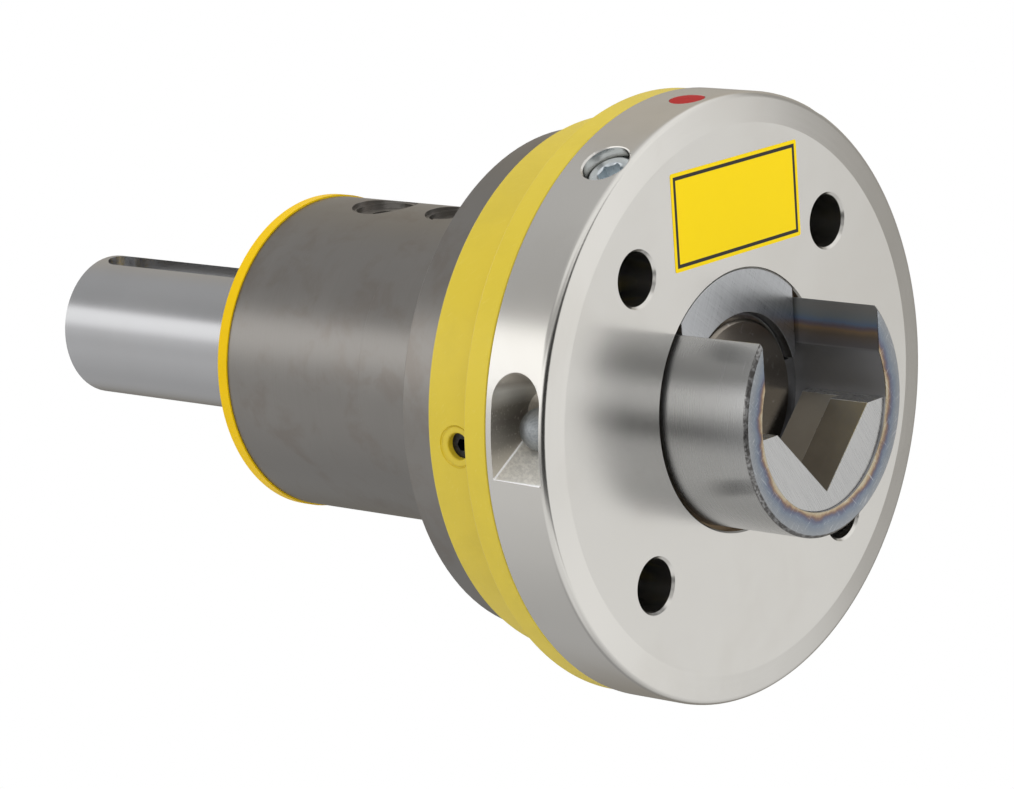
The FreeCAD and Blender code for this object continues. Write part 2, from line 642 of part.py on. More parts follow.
def make_jaw_sleeve():
    """Sleeve with an open top that carries the V block."""
    body = turned([
        (JAW_BORE_R, JAW_FRONT), (JAW_R - JAW_FRONT_CHAMFER, JAW_FRONT),
        (JAW_R, JAW_FRONT + JAW_FRONT_CHAMFER), (JAW_R, COLLAR_FRONT), (JAW_BORE_R, COLLAR_FRONT),
    ])
    slot = segment_room(JAW_SLOT_HALF, 0, JAW_FRONT - 1, SLOT_END)
    nose_front = NOSE_REAR - PAWL_NOSE - WHEEL_STROKE - FREE_GAP
    nose_rear = NOSE_REAR - WHEEL_STROKE + FREE_GAP
    half = PAWL_WIDTH / 2 + FREE_GAP
    groove_x = -JAW_R + NOSE_GROOVE_DEPTH
    groove = box(-JAW_R - 2, groove_x, nose_front, nose_rear, BUTTON_Z - half, BUTTON_Z + half)
    cuts = [slot, groove]
    for foot in jaw_screw_seats():
        cuts.append(Part.makeCylinder(M5["shank_r"] + SEAT_GAP, JAW_SCREW_LENGTH + SCREW_ROOM, foot, -AXIS_Y))
    cuts.append(countersunk_hole(M8_FLAT, v_screw_face(), -AXIS_Z, JAW_WALL + 1))
    return body.cut(cuts)


def v_screw_face():
    """Head face of the screw that holds the V block, under the jaw sleeve."""
    return Vector(0, JAW_FRONT + V_SET_BACK + V_SEAT_LENGTH / 2, -JAW_R + V_SCREW_RECESS)


def v_prism(relief, start, end):
    """Ninety degree V whose flats touch the square journal, opened by a relief."""
    apex = -JOURNAL_SQUARE / sqrt(2) - relief * sqrt(2)
    height = JAW_R - apex
    corners = [Vector(0, 0, apex), Vector(height, 0, apex + height), Vector(-height, 0, apex + height)]
    return extruded(corners, Vector(0, start, 0), Vector(0, end - start, 0))


def make_v_block():
    """Replaceable V block that the journal of the winding shaft lies in."""
    start = JAW_FRONT + V_SET_BACK
    end = start + V_BLOCK_LENGTH
    blank = disc(JAW_BORE_R - SEAT_GAP, start, end)
    top = box(-JAW_R, JAW_R, start - 1, end + 1, -V_TOP_DROP, JAW_R)
    seat = v_prism(0, start - 1, end + 1)
    relief = v_prism(V_RELIEF, start + V_SEAT_LENGTH, end + 1)
    block = blank.cut([top, seat, relief])
    hole_r = M8_FLAT["shank_r"] + SEAT_GAP
    return block.cut(Part.makeCylinder(hole_r, V_SCREW_LENGTH + 1, v_screw_face(), AXIS_Z))


def make_v_screw():
    """Countersunk screw from below into the V block."""
    return flat_screw(M8_FLAT, v_screw_face(), -AXIS_Z, V_SCREW_LENGTH)


def make_spacer():
    """Tube between the inner rings of the bearings."""
    inner_r = SHAFT_MID_R + SEAT_GAP
    return ring(inner_r + SPACER_WALL, inner_r, BEARING_REAR, REAR_BEARING_Y)


def pocket_cutter():
    """Finger pocket: a sloped floor below and a slanted round scoop above."""
    slope = radians(POCKET_SLOPE)
    half = POCKET_WIDTH / 2
    outer_x = -WHEEL_R - 4
    end_x = -WHEEL_R + POCKET_DEPTH
    floor_rise = sin(slope) / cos(slope)
    floor_z = POCKET_FLOOR_Z
    axis_z = POCKET_TOP_AXIS_Z

    def on_floor(x):
        return Vector(x, 0, floor_z + (x + WHEEL_R) * floor_rise)

    def on_axis(x):
        return Vector(x, 0, axis_z - (x + WHEEL_R) * floor_rise)

    base = Vector(0, POCKET_Y - half, 0)
    across = Vector(0, POCKET_WIDTH, 0)
    corners = [on_floor(outer_x), on_floor(end_x), on_axis(end_x), on_axis(outer_x)]
    lower = extruded(corners, base, across)
    middle = Vector(0, POCKET_Y, 0)
    run = on_axis(end_x + half) - on_axis(outer_x - half)
    scoop = Part.makeCylinder(half, run.Length, on_axis(outer_x - half) + middle, run)
    top_z = axis_z + 2 * POCKET_WIDTH
    above = [on_axis(outer_x), on_axis(end_x), Vector(end_x, 0, top_z), Vector(outer_x, 0, top_z)]
    upper = scoop.common(extruded(above, base, across))
    return lower.fuse(upper)


def button_bore():
    """Stepped bore for the button, its spring and its stem."""
    outside = Vector(BUTTON_X - BUTTON_R, POCKET_Y, BUTTON_Z)
    start = Vector(BUTTON_COLLAR_X, POCKET_Y, BUTTON_Z)
    end = Vector(-WHEEL_BORE_R, POCKET_Y, BUTTON_Z)
    small = Part.makeCylinder(BUTTON_R + RUNNING_GAP, (end - outside).Length, outside, AXIS_X)
    large = Part.makeCylinder(BUTTON_COLLAR_R + BUTTON_BORE_GAP, (end - start).Length, start, AXIS_X)
    return small.fuse(large)


def pawl_room():
    """Slot in the hub and web for the lock pawl, open to the rear."""
    half = PAWL_WIDTH / 2 + PAWL_SIDE_GAP
    front = POCKET_Y - PAWL_ROOM_END
    outer_x = -HUB_R - PAWL_ROOM_OUT
    inner_x = -WHEEL_BORE_R + PAWL_ROOM_IN
    return box(outer_x, inner_x, front, HUB_REAR + 1, BUTTON_Z - half, BUTTON_Z + half)


def pawl_pin_axis():
    """Foot of the pawl's pivot pin."""
    return Vector(PAWL_PIVOT_X, PAWL_PIVOT_Y, BUTTON_Z - PAWL_PIN_LENGTH / 2)


def make_handwheel():
    """Handwheel with web, hub, finger pocket and screw counterbores."""
    face = WHEEL_FACE
    bevel_r = WHEEL_R - BEVEL_WIDTH
    body = turned([
        (WHEEL_BORE_R, face), (bevel_r, face), (WHEEL_R, face + BEVEL_DROP),
        (WHEEL_R, WHEEL_REAR), (HUB_R, WHEEL_REAR), (HUB_R, HUB_REAR), (WHEEL_BORE_R, HUB_REAR),
    ])
    body = body.makeFillet(WHEEL_EDGE_ROUND, circle_edges(body, WHEEL_R, face + BEVEL_DROP))
    body = body.makeChamfer(WHEEL_REAR_CHAMFER, circle_edges(body, WHEEL_R, WHEEL_REAR))
    body = body.makeChamfer(BORE_CHAMFER, circle_edges(body, WHEEL_BORE_R, face))
    body = body.makeChamfer(EDGE_CHAMFER, circle_edges(body, HUB_R, HUB_REAR))
    cuts = [pocket_cutter(), button_bore(), pawl_room()]
    for angle in bolt_angles():
        foot = at_clock(angle, BOLT_CIRCLE_R, face - 1)
        hole_r = ACCESS_HOLE_D / 2
        cuts.append(Part.makeCylinder(hole_r, WHEEL_WIDTH + 2, foot, AXIS_Y))
        front = at_clock(angle, BOLT_CIRCLE_R, face)
        chamfer = ACCESS_HOLE_CHAMFER
        cuts.append(Part.makeCone(hole_r + chamfer, hole_r, chamfer, front, AXIS_Y))
    for angle in (-SEGMENT_SCREW_ANGLE, SEGMENT_SCREW_ANGLE):
        out = outward(angle)
        seat = segment_screw_seat(angle)
        cuts.append(Part.makeCylinder(M10["head_r"] + COUNTERBORE_GAP, 2 * M10["head"], seat, out))
        cuts.append(Part.makeCylinder(M10["shank_r"] + SCREW_ROOM, WHEEL_R - WHEEL_BORE_R, seat, -out))
    marker_foot = at_clock(MARKER_ANGLE, WHEEL_R - MARKER_DEPTH, SEGMENT_SCREW_Y)
    cuts.append(Part.makeCylinder(MARKER_D / 2, 5, marker_foot, outward(MARKER_ANGLE)))
    cuts.append(Part.makeCylinder(PAWL_PIN_R + SEAT_GAP, PAWL_PIN_LENGTH + 0.2, pawl_pin_axis(), AXIS_Z))
    return body.cut(cuts)


def segment_screw_seat(angle):
    """Point under the head of a segment screw."""
    seat_r = WHEEL_R - SEGMENT_SCREW_RECESS - M10["head"]
    return at_clock(angle, seat_r, SEGMENT_SCREW_Y)


def make_segment_screws():
    """Long cap screws from the rim into the closing segment."""
    screws = []
    for angle in (-SEGMENT_SCREW_ANGLE, SEGMENT_SCREW_ANGLE):
        tip = at_clock(angle, SEGMENT_SCREW_TIP_R, SEGMENT_SCREW_Y)
        screws.append(cap_screw(M10, segment_screw_seat(angle), tip, outward(angle)))
    return solid_group(screws)


def make_closing_segment():
    """Arched segment that closes the jaw's slot when the handwheel is forward."""
    blank = ring(WHEEL_BORE_R - SEAT_GAP, SEGMENT_BORE_R, WHEEL_FACE, SEGMENT_REAR)
    room = segment_room(SEGMENT_HALF, SEGMENT_FOOT_Z, WHEEL_FACE - 1, SEGMENT_REAR + 1)
    feet = [
        edge for edge in room.Edges
        if edge.BoundBox.YLength > 1 and abs(edge.CenterOfMass.z - SEGMENT_FOOT_Z) < 0.01
    ]
    body = blank.common(room.makeFillet(SEGMENT_FOOT_ROUND, feet))
    holes = []
    for angle in (-SEGMENT_SCREW_ANGLE, SEGMENT_SCREW_ANGLE):
        foot = at_clock(angle, SEGMENT_SCREW_TIP_R - 1, SEGMENT_SCREW_Y)
        holes.append(Part.makeCylinder(M10["shank_r"] + SEAT_GAP, 2 * M10["head"], foot, outward(angle)))
    return body.cut(holes)


def make_guide_bush():
    """Thin sliding bush, open at the top for the segment, with windows for the lock."""
    outer_r = WHEEL_BORE_R - SEAT_GAP
    inner_r = JAW_R + RUNNING_GAP
    front = WHEEL_FACE + GUIDE_BUSH_FRONT
    body = ring(outer_r, inner_r, front, HUB_REAR)
    top = segment_room(SEGMENT_HALF + FREE_GAP, 0, front - 1, HUB_REAR + 1)
    half = PAWL_WIDTH / 2 + FREE_GAP
    nose = box(-HUB_R, 0, NOSE_REAR - PAWL_NOSE - 1, HUB_REAR + 1, BUTTON_Z - half, BUTTON_Z + half)
    stem = box(-HUB_R, 0, POCKET_Y - half, POCKET_Y + half, BUTTON_Z - half, BUTTON_Z + half)
    return body.cut([top, nose, stem])


def make_red_marker():
    """Red inlay in the rim that shows where the jaw is open."""
    foot = at_clock(MARKER_ANGLE, WHEEL_R - MARKER_DEPTH, SEGMENT_SCREW_Y)
    blank = Part.makeCylinder(MARKER_D / 2 - SEAT_GAP, 5, foot, outward(MARKER_ANGLE))
    return blank.common(disc(WHEEL_R, WHEEL_FACE, WHEEL_REAR))


def make_release_button():
    """Ball-headed button with collar and stem; its neck holds the pawl's arm."""
    middle = Vector(BUTTON_X, POCKET_Y, BUTTON_Z)
    collar_x = BUTTON_COLLAR_X
    stem_end = PAWL_PIVOT_X - PAWL_THICKNESS / 2 - BUTTON_BORE_GAP
    neck_end = PAWL_PIVOT_X + PAWL_THICKNESS / 2 + BUTTON_BORE_GAP

    def rod(radius, x0, x1):
        return Part.makeCylinder(radius, x1 - x0, Vector(x0, POCKET_Y, BUTTON_Z), AXIS_X)

    ball = Part.makeSphere(BUTTON_R, middle)
    pieces = [
        rod(BUTTON_R, BUTTON_X, collar_x), rod(BUTTON_COLLAR_R, collar_x, collar_x + BUTTON_COLLAR),
        rod(STEM_R, collar_x + BUTTON_COLLAR, stem_end), rod(NECK_R, stem_end, neck_end),
        rod(STEM_R, neck_end, neck_end + NECK_FLANGE),
    ]
    return ball.fuse(pieces).removeSplitter()


def make_button_spring():
    """Compression spring around the button's stem."""
    end_gap = RUNNING_GAP
    length = SPRING_LENGTH - 2 * SPRING_WIRE_R - 2 * end_gap
    pitch = length / SPRING_TURNS
    helix = Part.makeHelix(pitch, length, SPRING_COIL_R)
    profile = Part.Wire(Part.makeCircle(SPRING_WIRE_R, Vector(SPRING_COIL_R, 0, 0), AXIS_Y))
    coil = Part.Wire(helix).makePipeShell([profile], True, True)
    start = Vector(SPRING_START_X + SPRING_WIRE_R + end_gap, POCKET_Y, BUTTON_Z)
    coil.Placement = FreeCAD.Placement(start, FreeCAD.Rotation(AXIS_Y, 90))
    return coil


def make_spring_seat():
    """Ring that the spring pushes against, pressed into the button's bore."""
    foot = Vector(SPRING_END_X, POCKET_Y, BUTTON_Z)
    outer_r = BUTTON_COLLAR_R + BUTTON_BORE_GAP - SEAT_GAP
    blank = Part.makeCylinder(outer_r, SPRING_SEAT, foot, AXIS_X)
    return blank.cut(Part.makeCylinder(STEM_R + RUNNING_GAP, SPRING_SEAT, foot, AXIS_X))


def make_lock_pawl():
    """Two-armed lock lever: the button moves one arm, the other drops into the jaw."""
    half = PAWL_THICKNESS / 2
    x0 = PAWL_PIVOT_X - half
    x1 = PAWL_PIVOT_X + half
    low = BUTTON_Z - PAWL_WIDTH / 2
    high = BUTTON_Z + PAWL_WIDTH / 2
    nose_x = -sqrt((JAW_R + 3 * RUNNING_GAP) ** 2 - low ** 2)
    front = POCKET_Y - PAWL_ARM_END
    arms = box(x0, x1, front, NOSE_REAR, low, high)
    nose = box(x0, nose_x, NOSE_REAR - PAWL_NOSE, NOSE_REAR, low, high)
    foot = Vector(PAWL_PIVOT_X, PAWL_PIVOT_Y, low)
    eye = Part.makeCylinder(PAWL_EYE_R, PAWL_WIDTH, foot, AXIS_Z)
    hole = Part.makeCylinder(PAWL_PIN_R + RUNNING_GAP, PAWL_WIDTH, foot, AXIS_Z)
    fork_half = NECK_R + FORK_GAP
    fork = box(x0 - 1, x1 + 1, front - 1, POCKET_Y, BUTTON_Z - fork_half, BUTTON_Z + fork_half)
    fork_end = Part.makeCylinder(fork_half, PAWL_THICKNESS + 2, Vector(x0 - 1, POCKET_Y, BUTTON_Z), AXIS_X)
    tongue_end = POCKET_Y + STEM_R + 1
    outer = box(x0 - 1, x0 + PAWL_TONGUE_RELIEF, front - 1, tongue_end, low - 1, high + 1)
    inner = box(x1 - PAWL_TONGUE_RELIEF, x1 + 1, front - 1, tongue_end, low - 1, high + 1)
    return arms.fuse([nose, eye]).removeSplitter().cut([hole, fork, fork_end, outer, inner])


def make_pawl_pin():
    """Pivot pin of the pawl."""
    return Part.makeCylinder(PAWL_PIN_R, PAWL_PIN_LENGTH, pawl_pin_axis(), AXIS_Z)


NODES = {
    "housing": make_housing(),
    "guard_ring": make_guard_ring(),
    "guard_ring_screws": make_guard_ring_screws(),
    "front_retaining_ring": make_front_retainer(),
    "front_seal": make_front_seal(),
    "rear_cover": make_rear_cover(),
    "rear_cover_screws": make_rear_cover_screws(),
    "rear_seal": make_rear_seal(),
    "front_bearing_outer_race": make_outer_race(FRONT_BEARING, BEARING_FRONT),
    "rear_bearing_outer_race": make_outer_race(REAR_BEARING, REAR_BEARING_Y),
    "front_bearing_balls": make_balls(FRONT_BEARING, BEARING_FRONT),
    "front_bearing_cage": make_cage(FRONT_BEARING, BEARING_FRONT),
    "rear_bearing_balls": make_balls(REAR_BEARING, REAR_BEARING_Y),
    "rear_bearing_cage": make_cage(REAR_BEARING, REAR_BEARING_Y),
    "front_bearing_inner_race": make_inner_race(FRONT_BEARING, BEARING_FRONT),
    "rear_bearing_inner_race": make_inner_race(REAR_BEARING, REAR_BEARING_Y),
    "bearing_spacer": make_spacer(),
    "rear_retaining_ring": make_rear_retainer(),
    "main_shaft": make_main_shaft(),
    "jaw_sleeve": make_jaw_sleeve(),
    "jaw_screws": make_jaw_screws(),
    "v_block": make_v_block(),
    "v_block_screw": make_v_screw(),
    "handwheel": make_handwheel(),
    "closing_segment": make_closing_segment(),
    "segment_screws": make_segment_screws(),
    "guide_bush": make_guide_bush(),
    "red_marker": make_red_marker(),
    "spring_seat": make_spring_seat(),
    "button_spring": make_button_spring(),
    "pawl_pin": make_pawl_pin(),
    "release_button": make_release_button(),
    "lock_pawl": make_lock_pawl(),
}

for name, shape in NODES.items():
    shape.exportStep(os.path.join("parts", name + ".step"))
    size = shape.BoundBox
    spans = [size.XMin, size.XMax, size.YMin, size.YMax, size.ZMin, size.ZMax]
    print(name, len(shape.Solids), "solids", shape.isValid(), [round(v, 2) for v in spans])
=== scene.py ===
"""Looks of the winder safety chuck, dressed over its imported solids.

The chuck axis lies along Y and the open jaw points to -Y. Sizes are in
millimetres, counted as in the part's source, unless a comment says metres.
"""
from math import atan2, cos, pi, radians, sin, sqrt, tan

import bpy
from mathutils import Matrix, Vector


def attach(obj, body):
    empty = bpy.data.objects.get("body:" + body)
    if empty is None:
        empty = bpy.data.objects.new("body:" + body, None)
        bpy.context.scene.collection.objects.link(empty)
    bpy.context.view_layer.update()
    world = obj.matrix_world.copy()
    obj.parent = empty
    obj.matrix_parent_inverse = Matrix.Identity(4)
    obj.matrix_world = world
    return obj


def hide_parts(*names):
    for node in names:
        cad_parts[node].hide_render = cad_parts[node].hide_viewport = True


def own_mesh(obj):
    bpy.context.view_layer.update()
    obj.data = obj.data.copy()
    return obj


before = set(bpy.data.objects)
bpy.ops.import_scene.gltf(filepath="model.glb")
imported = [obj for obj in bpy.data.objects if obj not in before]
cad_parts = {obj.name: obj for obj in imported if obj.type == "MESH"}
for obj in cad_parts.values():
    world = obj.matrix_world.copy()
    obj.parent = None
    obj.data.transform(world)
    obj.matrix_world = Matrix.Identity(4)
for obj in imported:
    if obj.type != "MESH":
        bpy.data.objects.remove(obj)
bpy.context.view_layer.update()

MM = 0.001

# Stations and radii of the pieces, as in the solids where these have them.
# The cap screws and the marker lie a little further back than in the solids.
WHEEL_R, WHEEL_FACE, WHEEL_REAR = 105.0, -76.8, -51.3
WHEEL_BORE_R, HUB_R, HUB_REAR = 45.0, 58.0, -36.1
BEVEL_R, BEVEL_DROP, RIM_ROUND = 94.5, 1.3, 2.5
HOLE_CIRCLE_R, ACCESS_R = 74.0, 9.25
SCREW_ANGLE, SCREW_Y, SCREW_SEAT_R = 30.0, -66.6, 91.0
HEAD_R, HEAD_HEIGHT, HEX_KEY = 8.0, 10.0, 8.0
COUNTERBORE_R = 8.35
MARKER_CLOCK, MARKER_R, MARKER_Y = 4.5, 6.1, -66.8
POCKET_Y, POCKET_HALF, POCKET_DEPTH = -64.3, 10.0, 19.0
POCKET_FLOOR_Z, POCKET_AXIS_Z, POCKET_SLOPE = -6.0, 21.0, radians(31)
BUTTON_R, BUTTON_Z = 7.2, 9.0
SPRING_WIRE_R, SPRING_COIL_R, SPRING_TURNS = 0.7, 6.3, 5
SPRING_START, SPRING_LENGTH, SPRING_SEAT_X, SPRING_KEEP = -75.05, 9.4, -64.9, 0.725
JAW_FRONT, JAW_REAR, JAW_R, JAW_BORE_R = -111.6, -33.5, 43.4, 34.5
SLOT_HALF, SLOT_END = 31.8, -41.7
V_FRONT, V_SEAT_END, V_REAR, V_TOP = -110.6, -94.6, -79.1, -3.0
V_APEX, V_RELIEF_APEX, V_BLOCK_R = -28.28, -33.23, 34.48
SEGMENT_HALF, SEGMENT_BORE_R, SEGMENT_R = 30.6, 30.0, 44.98
SEGMENT_FOOT_Z, SEGMENT_FOOT_ROUND, SEGMENT_REAR = 8.0, 3.5, -42.0
GUARD_LIP_R, GUARD_R, GUARD_BORE_R = 104.4, 94.0, 86.0
GUARD_FRONT, GUARD_LIP_END, GUARD_REAR = -51.0, -41.9, -17.0
GUARD_SCREW_Y, GUARD_HOLE_R, GUARD_SPOT_R = -29.2, 4.5, 6.75
PAWL_ROOM_X0, PAWL_ROOM_X1, PAWL_ROOM_HALF = -60.5, -41.0, 5.0
GROOVE_FRONT, GROOVE_REAR, GROOVE_DEPTH, GROOVE_HALF = -75.2, -70.7, 3.0, 5.3
V_SCREW_Y, V_SCREW_R, V_SCREW_HEAD_R, V_SCREW_DEPTH = -102.6, 4.02, 7.42, 14.0
LABEL_X, LABEL_Z, LABEL_HALF_X, LABEL_HALF_Z, FILM = 2.4, 67.0, 34.5, 16.7, 0.12

STEPS = 192              # facets round the axis
SMOOTH_ANGLE = 38        # faces are shaded smooth below this angle
ROUND_STEPS = 6          # facets of a corner round
WELD = 0.000002          # points closer than this, in metres, become one
WELD_CUT = 0.00001       # the same just before a piece's edges are broken
SEED = 0.002             # plane that shrinks to a first point, in metres
FLOOR_Z = -0.20          # metres
WHITE = (1, 1, 1, 1)

# Fitted camera: angles in degrees, places in metres, focal length in pixels
AZIMUTH, ELEVATION, ROLL = -48.44, 12.948, -4.02
AIM_Y, DISTANCE, SHIFT_RIGHT, SHIFT_UP = -0.005127, 1.537419, -0.026091, -0.004961
FOCAL_PIXELS, PICTURE_WIDTH, SENSOR_WIDTH = 4384.404, 1014, 36.0


# Modelling helpers


def deselect():
    """Nothing selected, object mode."""
    if bpy.context.mode != "OBJECT":
        bpy.ops.object.mode_set(mode="OBJECT")
    bpy.ops.object.select_all(action="DESELECT")


def pick(piece):
    """This piece alone is selected and active."""
    deselect()
    piece.select_set(True)
    bpy.context.view_layer.objects.active = piece


def settle(piece):
    """Moves the object's place into its mesh."""
    pick(piece)
    bpy.ops.object.transform_apply(location=True, rotation=True, scale=True)


def edit_all(piece):
    """Edit mode with the whole piece selected."""
    pick(piece)
    bpy.ops.object.mode_set(mode="EDIT")
    bpy.ops.mesh.select_all(action="SELECT")


def first_point(name, place):
    """One vertex to draw from, in edit mode."""
    deselect()
    bpy.ops.mesh.primitive_plane_add(size=SEED, location=place)
    piece = bpy.context.active_object
    piece.name = name
    settle(piece)
    edit_all(piece)
    bpy.ops.mesh.merge(type="CENTER")
    return piece


def close_up():
    """Normals outward and back to object mode."""
    bpy.ops.mesh.select_all(action="SELECT")
    bpy.ops.mesh.normals_make_consistent(inside=False)
    bpy.ops.object.mode_set(mode="OBJECT")


def wire(name, points):
    """Open line through (radius, station) points, drawn corner by corner."""
    piece = first_point(name, (points[0][0] * MM, points[0][1] * MM, 0))
    for here, there in zip(points, points[1:]):
        step = ((there[0] - here[0]) * MM, (there[1] - here[1]) * MM, 0)
        bpy.ops.mesh.extrude_vertices_move(TRANSFORM_OT_translate={"value": step})
    return piece


def rounded(points):
    """Outline with its rounds filled in; a point may carry a radius as its third value."""
    outline = []
    for index, point in enumerate(points):
        if len(point) == 2:
            outline.append(point)
            continue
        here = Vector(point[:2])
        before = (Vector(points[index - 1][:2]) - here).normalized()
        after = (Vector(points[(index + 1) % len(points)][:2]) - here).normalized()
        half = before.angle(after) / 2
        reach = point[2] / tan(half)
        centre = here + (before + after).normalized() * (point[2] / sin(half))
        first = here + before * reach - centre
        last = here + after * reach - centre
        for k in range(ROUND_STEPS + 1):
            spoke = first.normalized().slerp(last.normalized(), k / ROUND_STEPS)
            outline.append(tuple(centre + spoke * point[2]))
    return outline


def turned(name, points, closed=True, steps=STEPS):
    """Spins an outline of (radius, station) points about the chuck axis."""
    outline = rounded(points)
    if closed:
        outline = outline + outline[:1]
    piece = wire(name, outline)
    bpy.ops.mesh.select_all(action="SELECT")
    bpy.ops.mesh.spin(steps=steps, angle=2 * pi, center=(0, 0, 0), axis=(0, 1, 0))
    bpy.ops.mesh.select_all(action="SELECT")
    bpy.ops.mesh.remove_doubles(threshold=WELD)
    close_up()
    return piece


def plate(name, corners, start, end):
    """Prism between two stations from (x, z) corners."""
    piece = first_point(name, (corners[0][0] * MM, start * MM, corners[0][1] * MM))
    for here, there in zip(corners, corners[1:] + corners[:1]):
        step = ((there[0] - here[0]) * MM, 0, (there[1] - here[1]) * MM)
        bpy.ops.mesh.extrude_vertices_move(TRANSFORM_OT_translate={"value": step})
    bpy.ops.mesh.select_all(action="SELECT")
    bpy.ops.mesh.remove_doubles(threshold=WELD)
    bpy.ops.mesh.edge_face_add()
    bpy.ops.mesh.extrude_region_move(TRANSFORM_OT_translate={"value": (0, (end - start) * MM, 0)})
    close_up()
    return piece


def block(name, x0, x1, y0, y1, z0, z1):
    """Box between two corners."""
    deselect()
    middle = ((x0 + x1) / 2 * MM, (y0 + y1) / 2 * MM, (z0 + z1) / 2 * MM)
    bpy.ops.mesh.primitive_cube_add(size=1, location=middle)
    piece = bpy.context.active_object
    piece.name = name
    piece.scale = ((x1 - x0) * MM, (y1 - y0) * MM, (z1 - z0) * MM)
    settle(piece)
    return piece


def placed(piece, foot, direction):
    """Turns a piece made along +Y to point along a direction, with its origin at a foot."""
    turn = Vector((0, 1, 0)).rotation_difference(Vector(direction).normalized())
    piece.matrix_world = Matrix.Translation(Vector(foot) * MM) @ turn.to_matrix().to_4x4()
    settle(piece)
    return piece


def drill(radius, depth, mouth, foot, direction, above=4.0, steps=96):
    """Cutter for a hole with a chamfered mouth; the foot is on the surface."""
    proud = 0.2
    wide = radius + mouth + proud
    top = [(0, -above), (wide, -above), (wide, -proud), (radius, mouth)]
    if mouth == 0:
        top = [(0, -above), (radius, -above)]
    points = top + [(radius, depth), (0, depth)]
    piece = turned("drill", points, closed=False, steps=steps)
    return placed(piece, foot, direction)


def apply_modifier(piece, kind, **settings):
    """Adds one modifier, sets it and applies it."""
    pick(piece)
    modifier = piece.modifiers.new(kind.lower(), kind)
    for key, value in settings.items():
        setattr(modifier, key, value)
    bpy.ops.object.modifier_apply(modifier=modifier.name)


def combine(piece, tools, operation="DIFFERENCE"):
    """Boolean of a piece with each tool in turn; the tools are used up."""
    for tool in tools:
        apply_modifier(piece, "BOOLEAN", object=tool, operation=operation, solver="EXACT")
        bpy.data.objects.remove(tool)
    return piece


def break_edges(piece, width, segments=2, angle=SMOOTH_ANGLE):
    """Takes the sharpness off edges above an angle and shades smooth up to what stays sharp."""
    edit_all(piece)
    bpy.ops.mesh.remove_doubles(threshold=WELD_CUT)
    bpy.ops.object.mode_set(mode="OBJECT")
    if width:
        apply_modifier(piece, "BEVEL", width=width * MM, segments=segments, limit_method="ANGLE",
                       angle_limit=radians(angle), use_clamp_overlap=False, miter_outer="MITER_ARC")
    pick(piece)
    bpy.ops.object.shade_smooth_by_angle(angle=radians(SMOOTH_ANGLE))
    apply_modifier(piece, "WEIGHTED_NORMAL", keep_sharp=True, weight=70)
    return piece


def bevel_where(piece, width, segments, test):
    """Rounds the edges whose two ends pass a test."""
    pick(piece)
    bpy.ops.object.mode_set(mode="EDIT")
    bpy.ops.mesh.select_mode(type="EDGE")
    bpy.ops.mesh.select_all(action="DESELECT")
    bpy.ops.object.mode_set(mode="OBJECT")
    for edge in piece.data.edges:
        ends = [piece.data.vertices[corner].co / MM for corner in edge.vertices]
        edge.select = test(*ends)
    bpy.ops.object.mode_set(mode="EDIT")
    bpy.ops.mesh.bevel(offset=width * MM, segments=segments, affect="EDGES")
    bpy.ops.mesh.select_mode(type="VERT")
    bpy.ops.object.mode_set(mode="OBJECT")


def outward(angle):
    """Unit vector out from the axis; the angle is counted from the top towards -X."""
    return Vector((-sin(radians(angle)), 0, cos(radians(angle))))


def at_clock(angle, radius, y):
    """Point at an angle, radius and station."""
    return outward(angle) * radius + Vector((0, y, 0))


def radius_of(point):
    """Distance from the chuck axis."""
    return sqrt(point.x ** 2 + point.z ** 2)


def assign_where(piece, material, test):
    """Gives a further material to the faces whose middle and normal pass a test."""
    piece.data.materials.append(material)
    index = len(piece.data.materials) - 1
    for face in piece.data.polygons:
        if test(face.center / MM, face.normal):
            face.material_index = index


# Material helpers


def join(tree, source, target):
    """Feeds an input from another socket, or gives it a plain value."""
    if hasattr(source, "is_output"):
        tree.links.new(source, target)
    else:
        target.default_value = source


def node(tree, kind, **settings):
    """New node; settings set its own properties, or feed its inputs by name."""
    made = tree.nodes.new(kind)
    for key, value in settings.items():
        if hasattr(made, key):
            setattr(made, key, value)
        else:
            join(tree, value, made.inputs[key.replace("_", " ")])
    return made


def maths(tree, operation, first, second=None, third=None):
    """Math node whose inputs are sockets or numbers; gives its output."""
    made = node(tree, "ShaderNodeMath", operation=operation)
    for socket, value in zip(made.inputs, (first, second, third)):
        if value is not None:
            join(tree, value, socket)
    return made.outputs[0]


def times(tree, first, second):
    """Product of two values."""
    return maths(tree, "MULTIPLY", first, second)


def less(tree, first, second):
    """First value less the second."""
    return maths(tree, "SUBTRACT", first, second)


def from_axis(tree, x, z):
    """Radius of a place from the chuck axis."""
    return maths(tree, "SQRT", maths(tree, "ADD", times(tree, x, x), times(tree, z, z)))


def spread(tree, value, low, high, to_low=0.0, to_high=1.0):
    """Map Range with smooth ends; gives its output."""
    made = node(tree, "ShaderNodeMapRange", interpolation_type="SMOOTHSTEP", Value=value,
                From_Min=low, From_Max=high, To_Min=to_low, To_Max=to_high)
    return made.outputs["Result"]


def mixed(tree, factor, first, second):
    """Mix of two colours; each may be a socket or a colour."""
    made = node(tree, "ShaderNodeMix", data_type="RGBA")
    join(tree, factor, made.inputs[0])
    for socket, value in zip(made.inputs[6:8], (first, second)):
        join(tree, (*value, 1.0) if isinstance(value, tuple) else value, socket)
    return made.outputs[2]


def shader_mix(tree, factor, first, second):
    """Mix Shader; gives its output."""
    made = tree.nodes.new("ShaderNodeMixShader")
    for socket, source in zip(made.inputs, (factor, first, second)):
        join(tree, source, socket)
    return made.outputs[0]


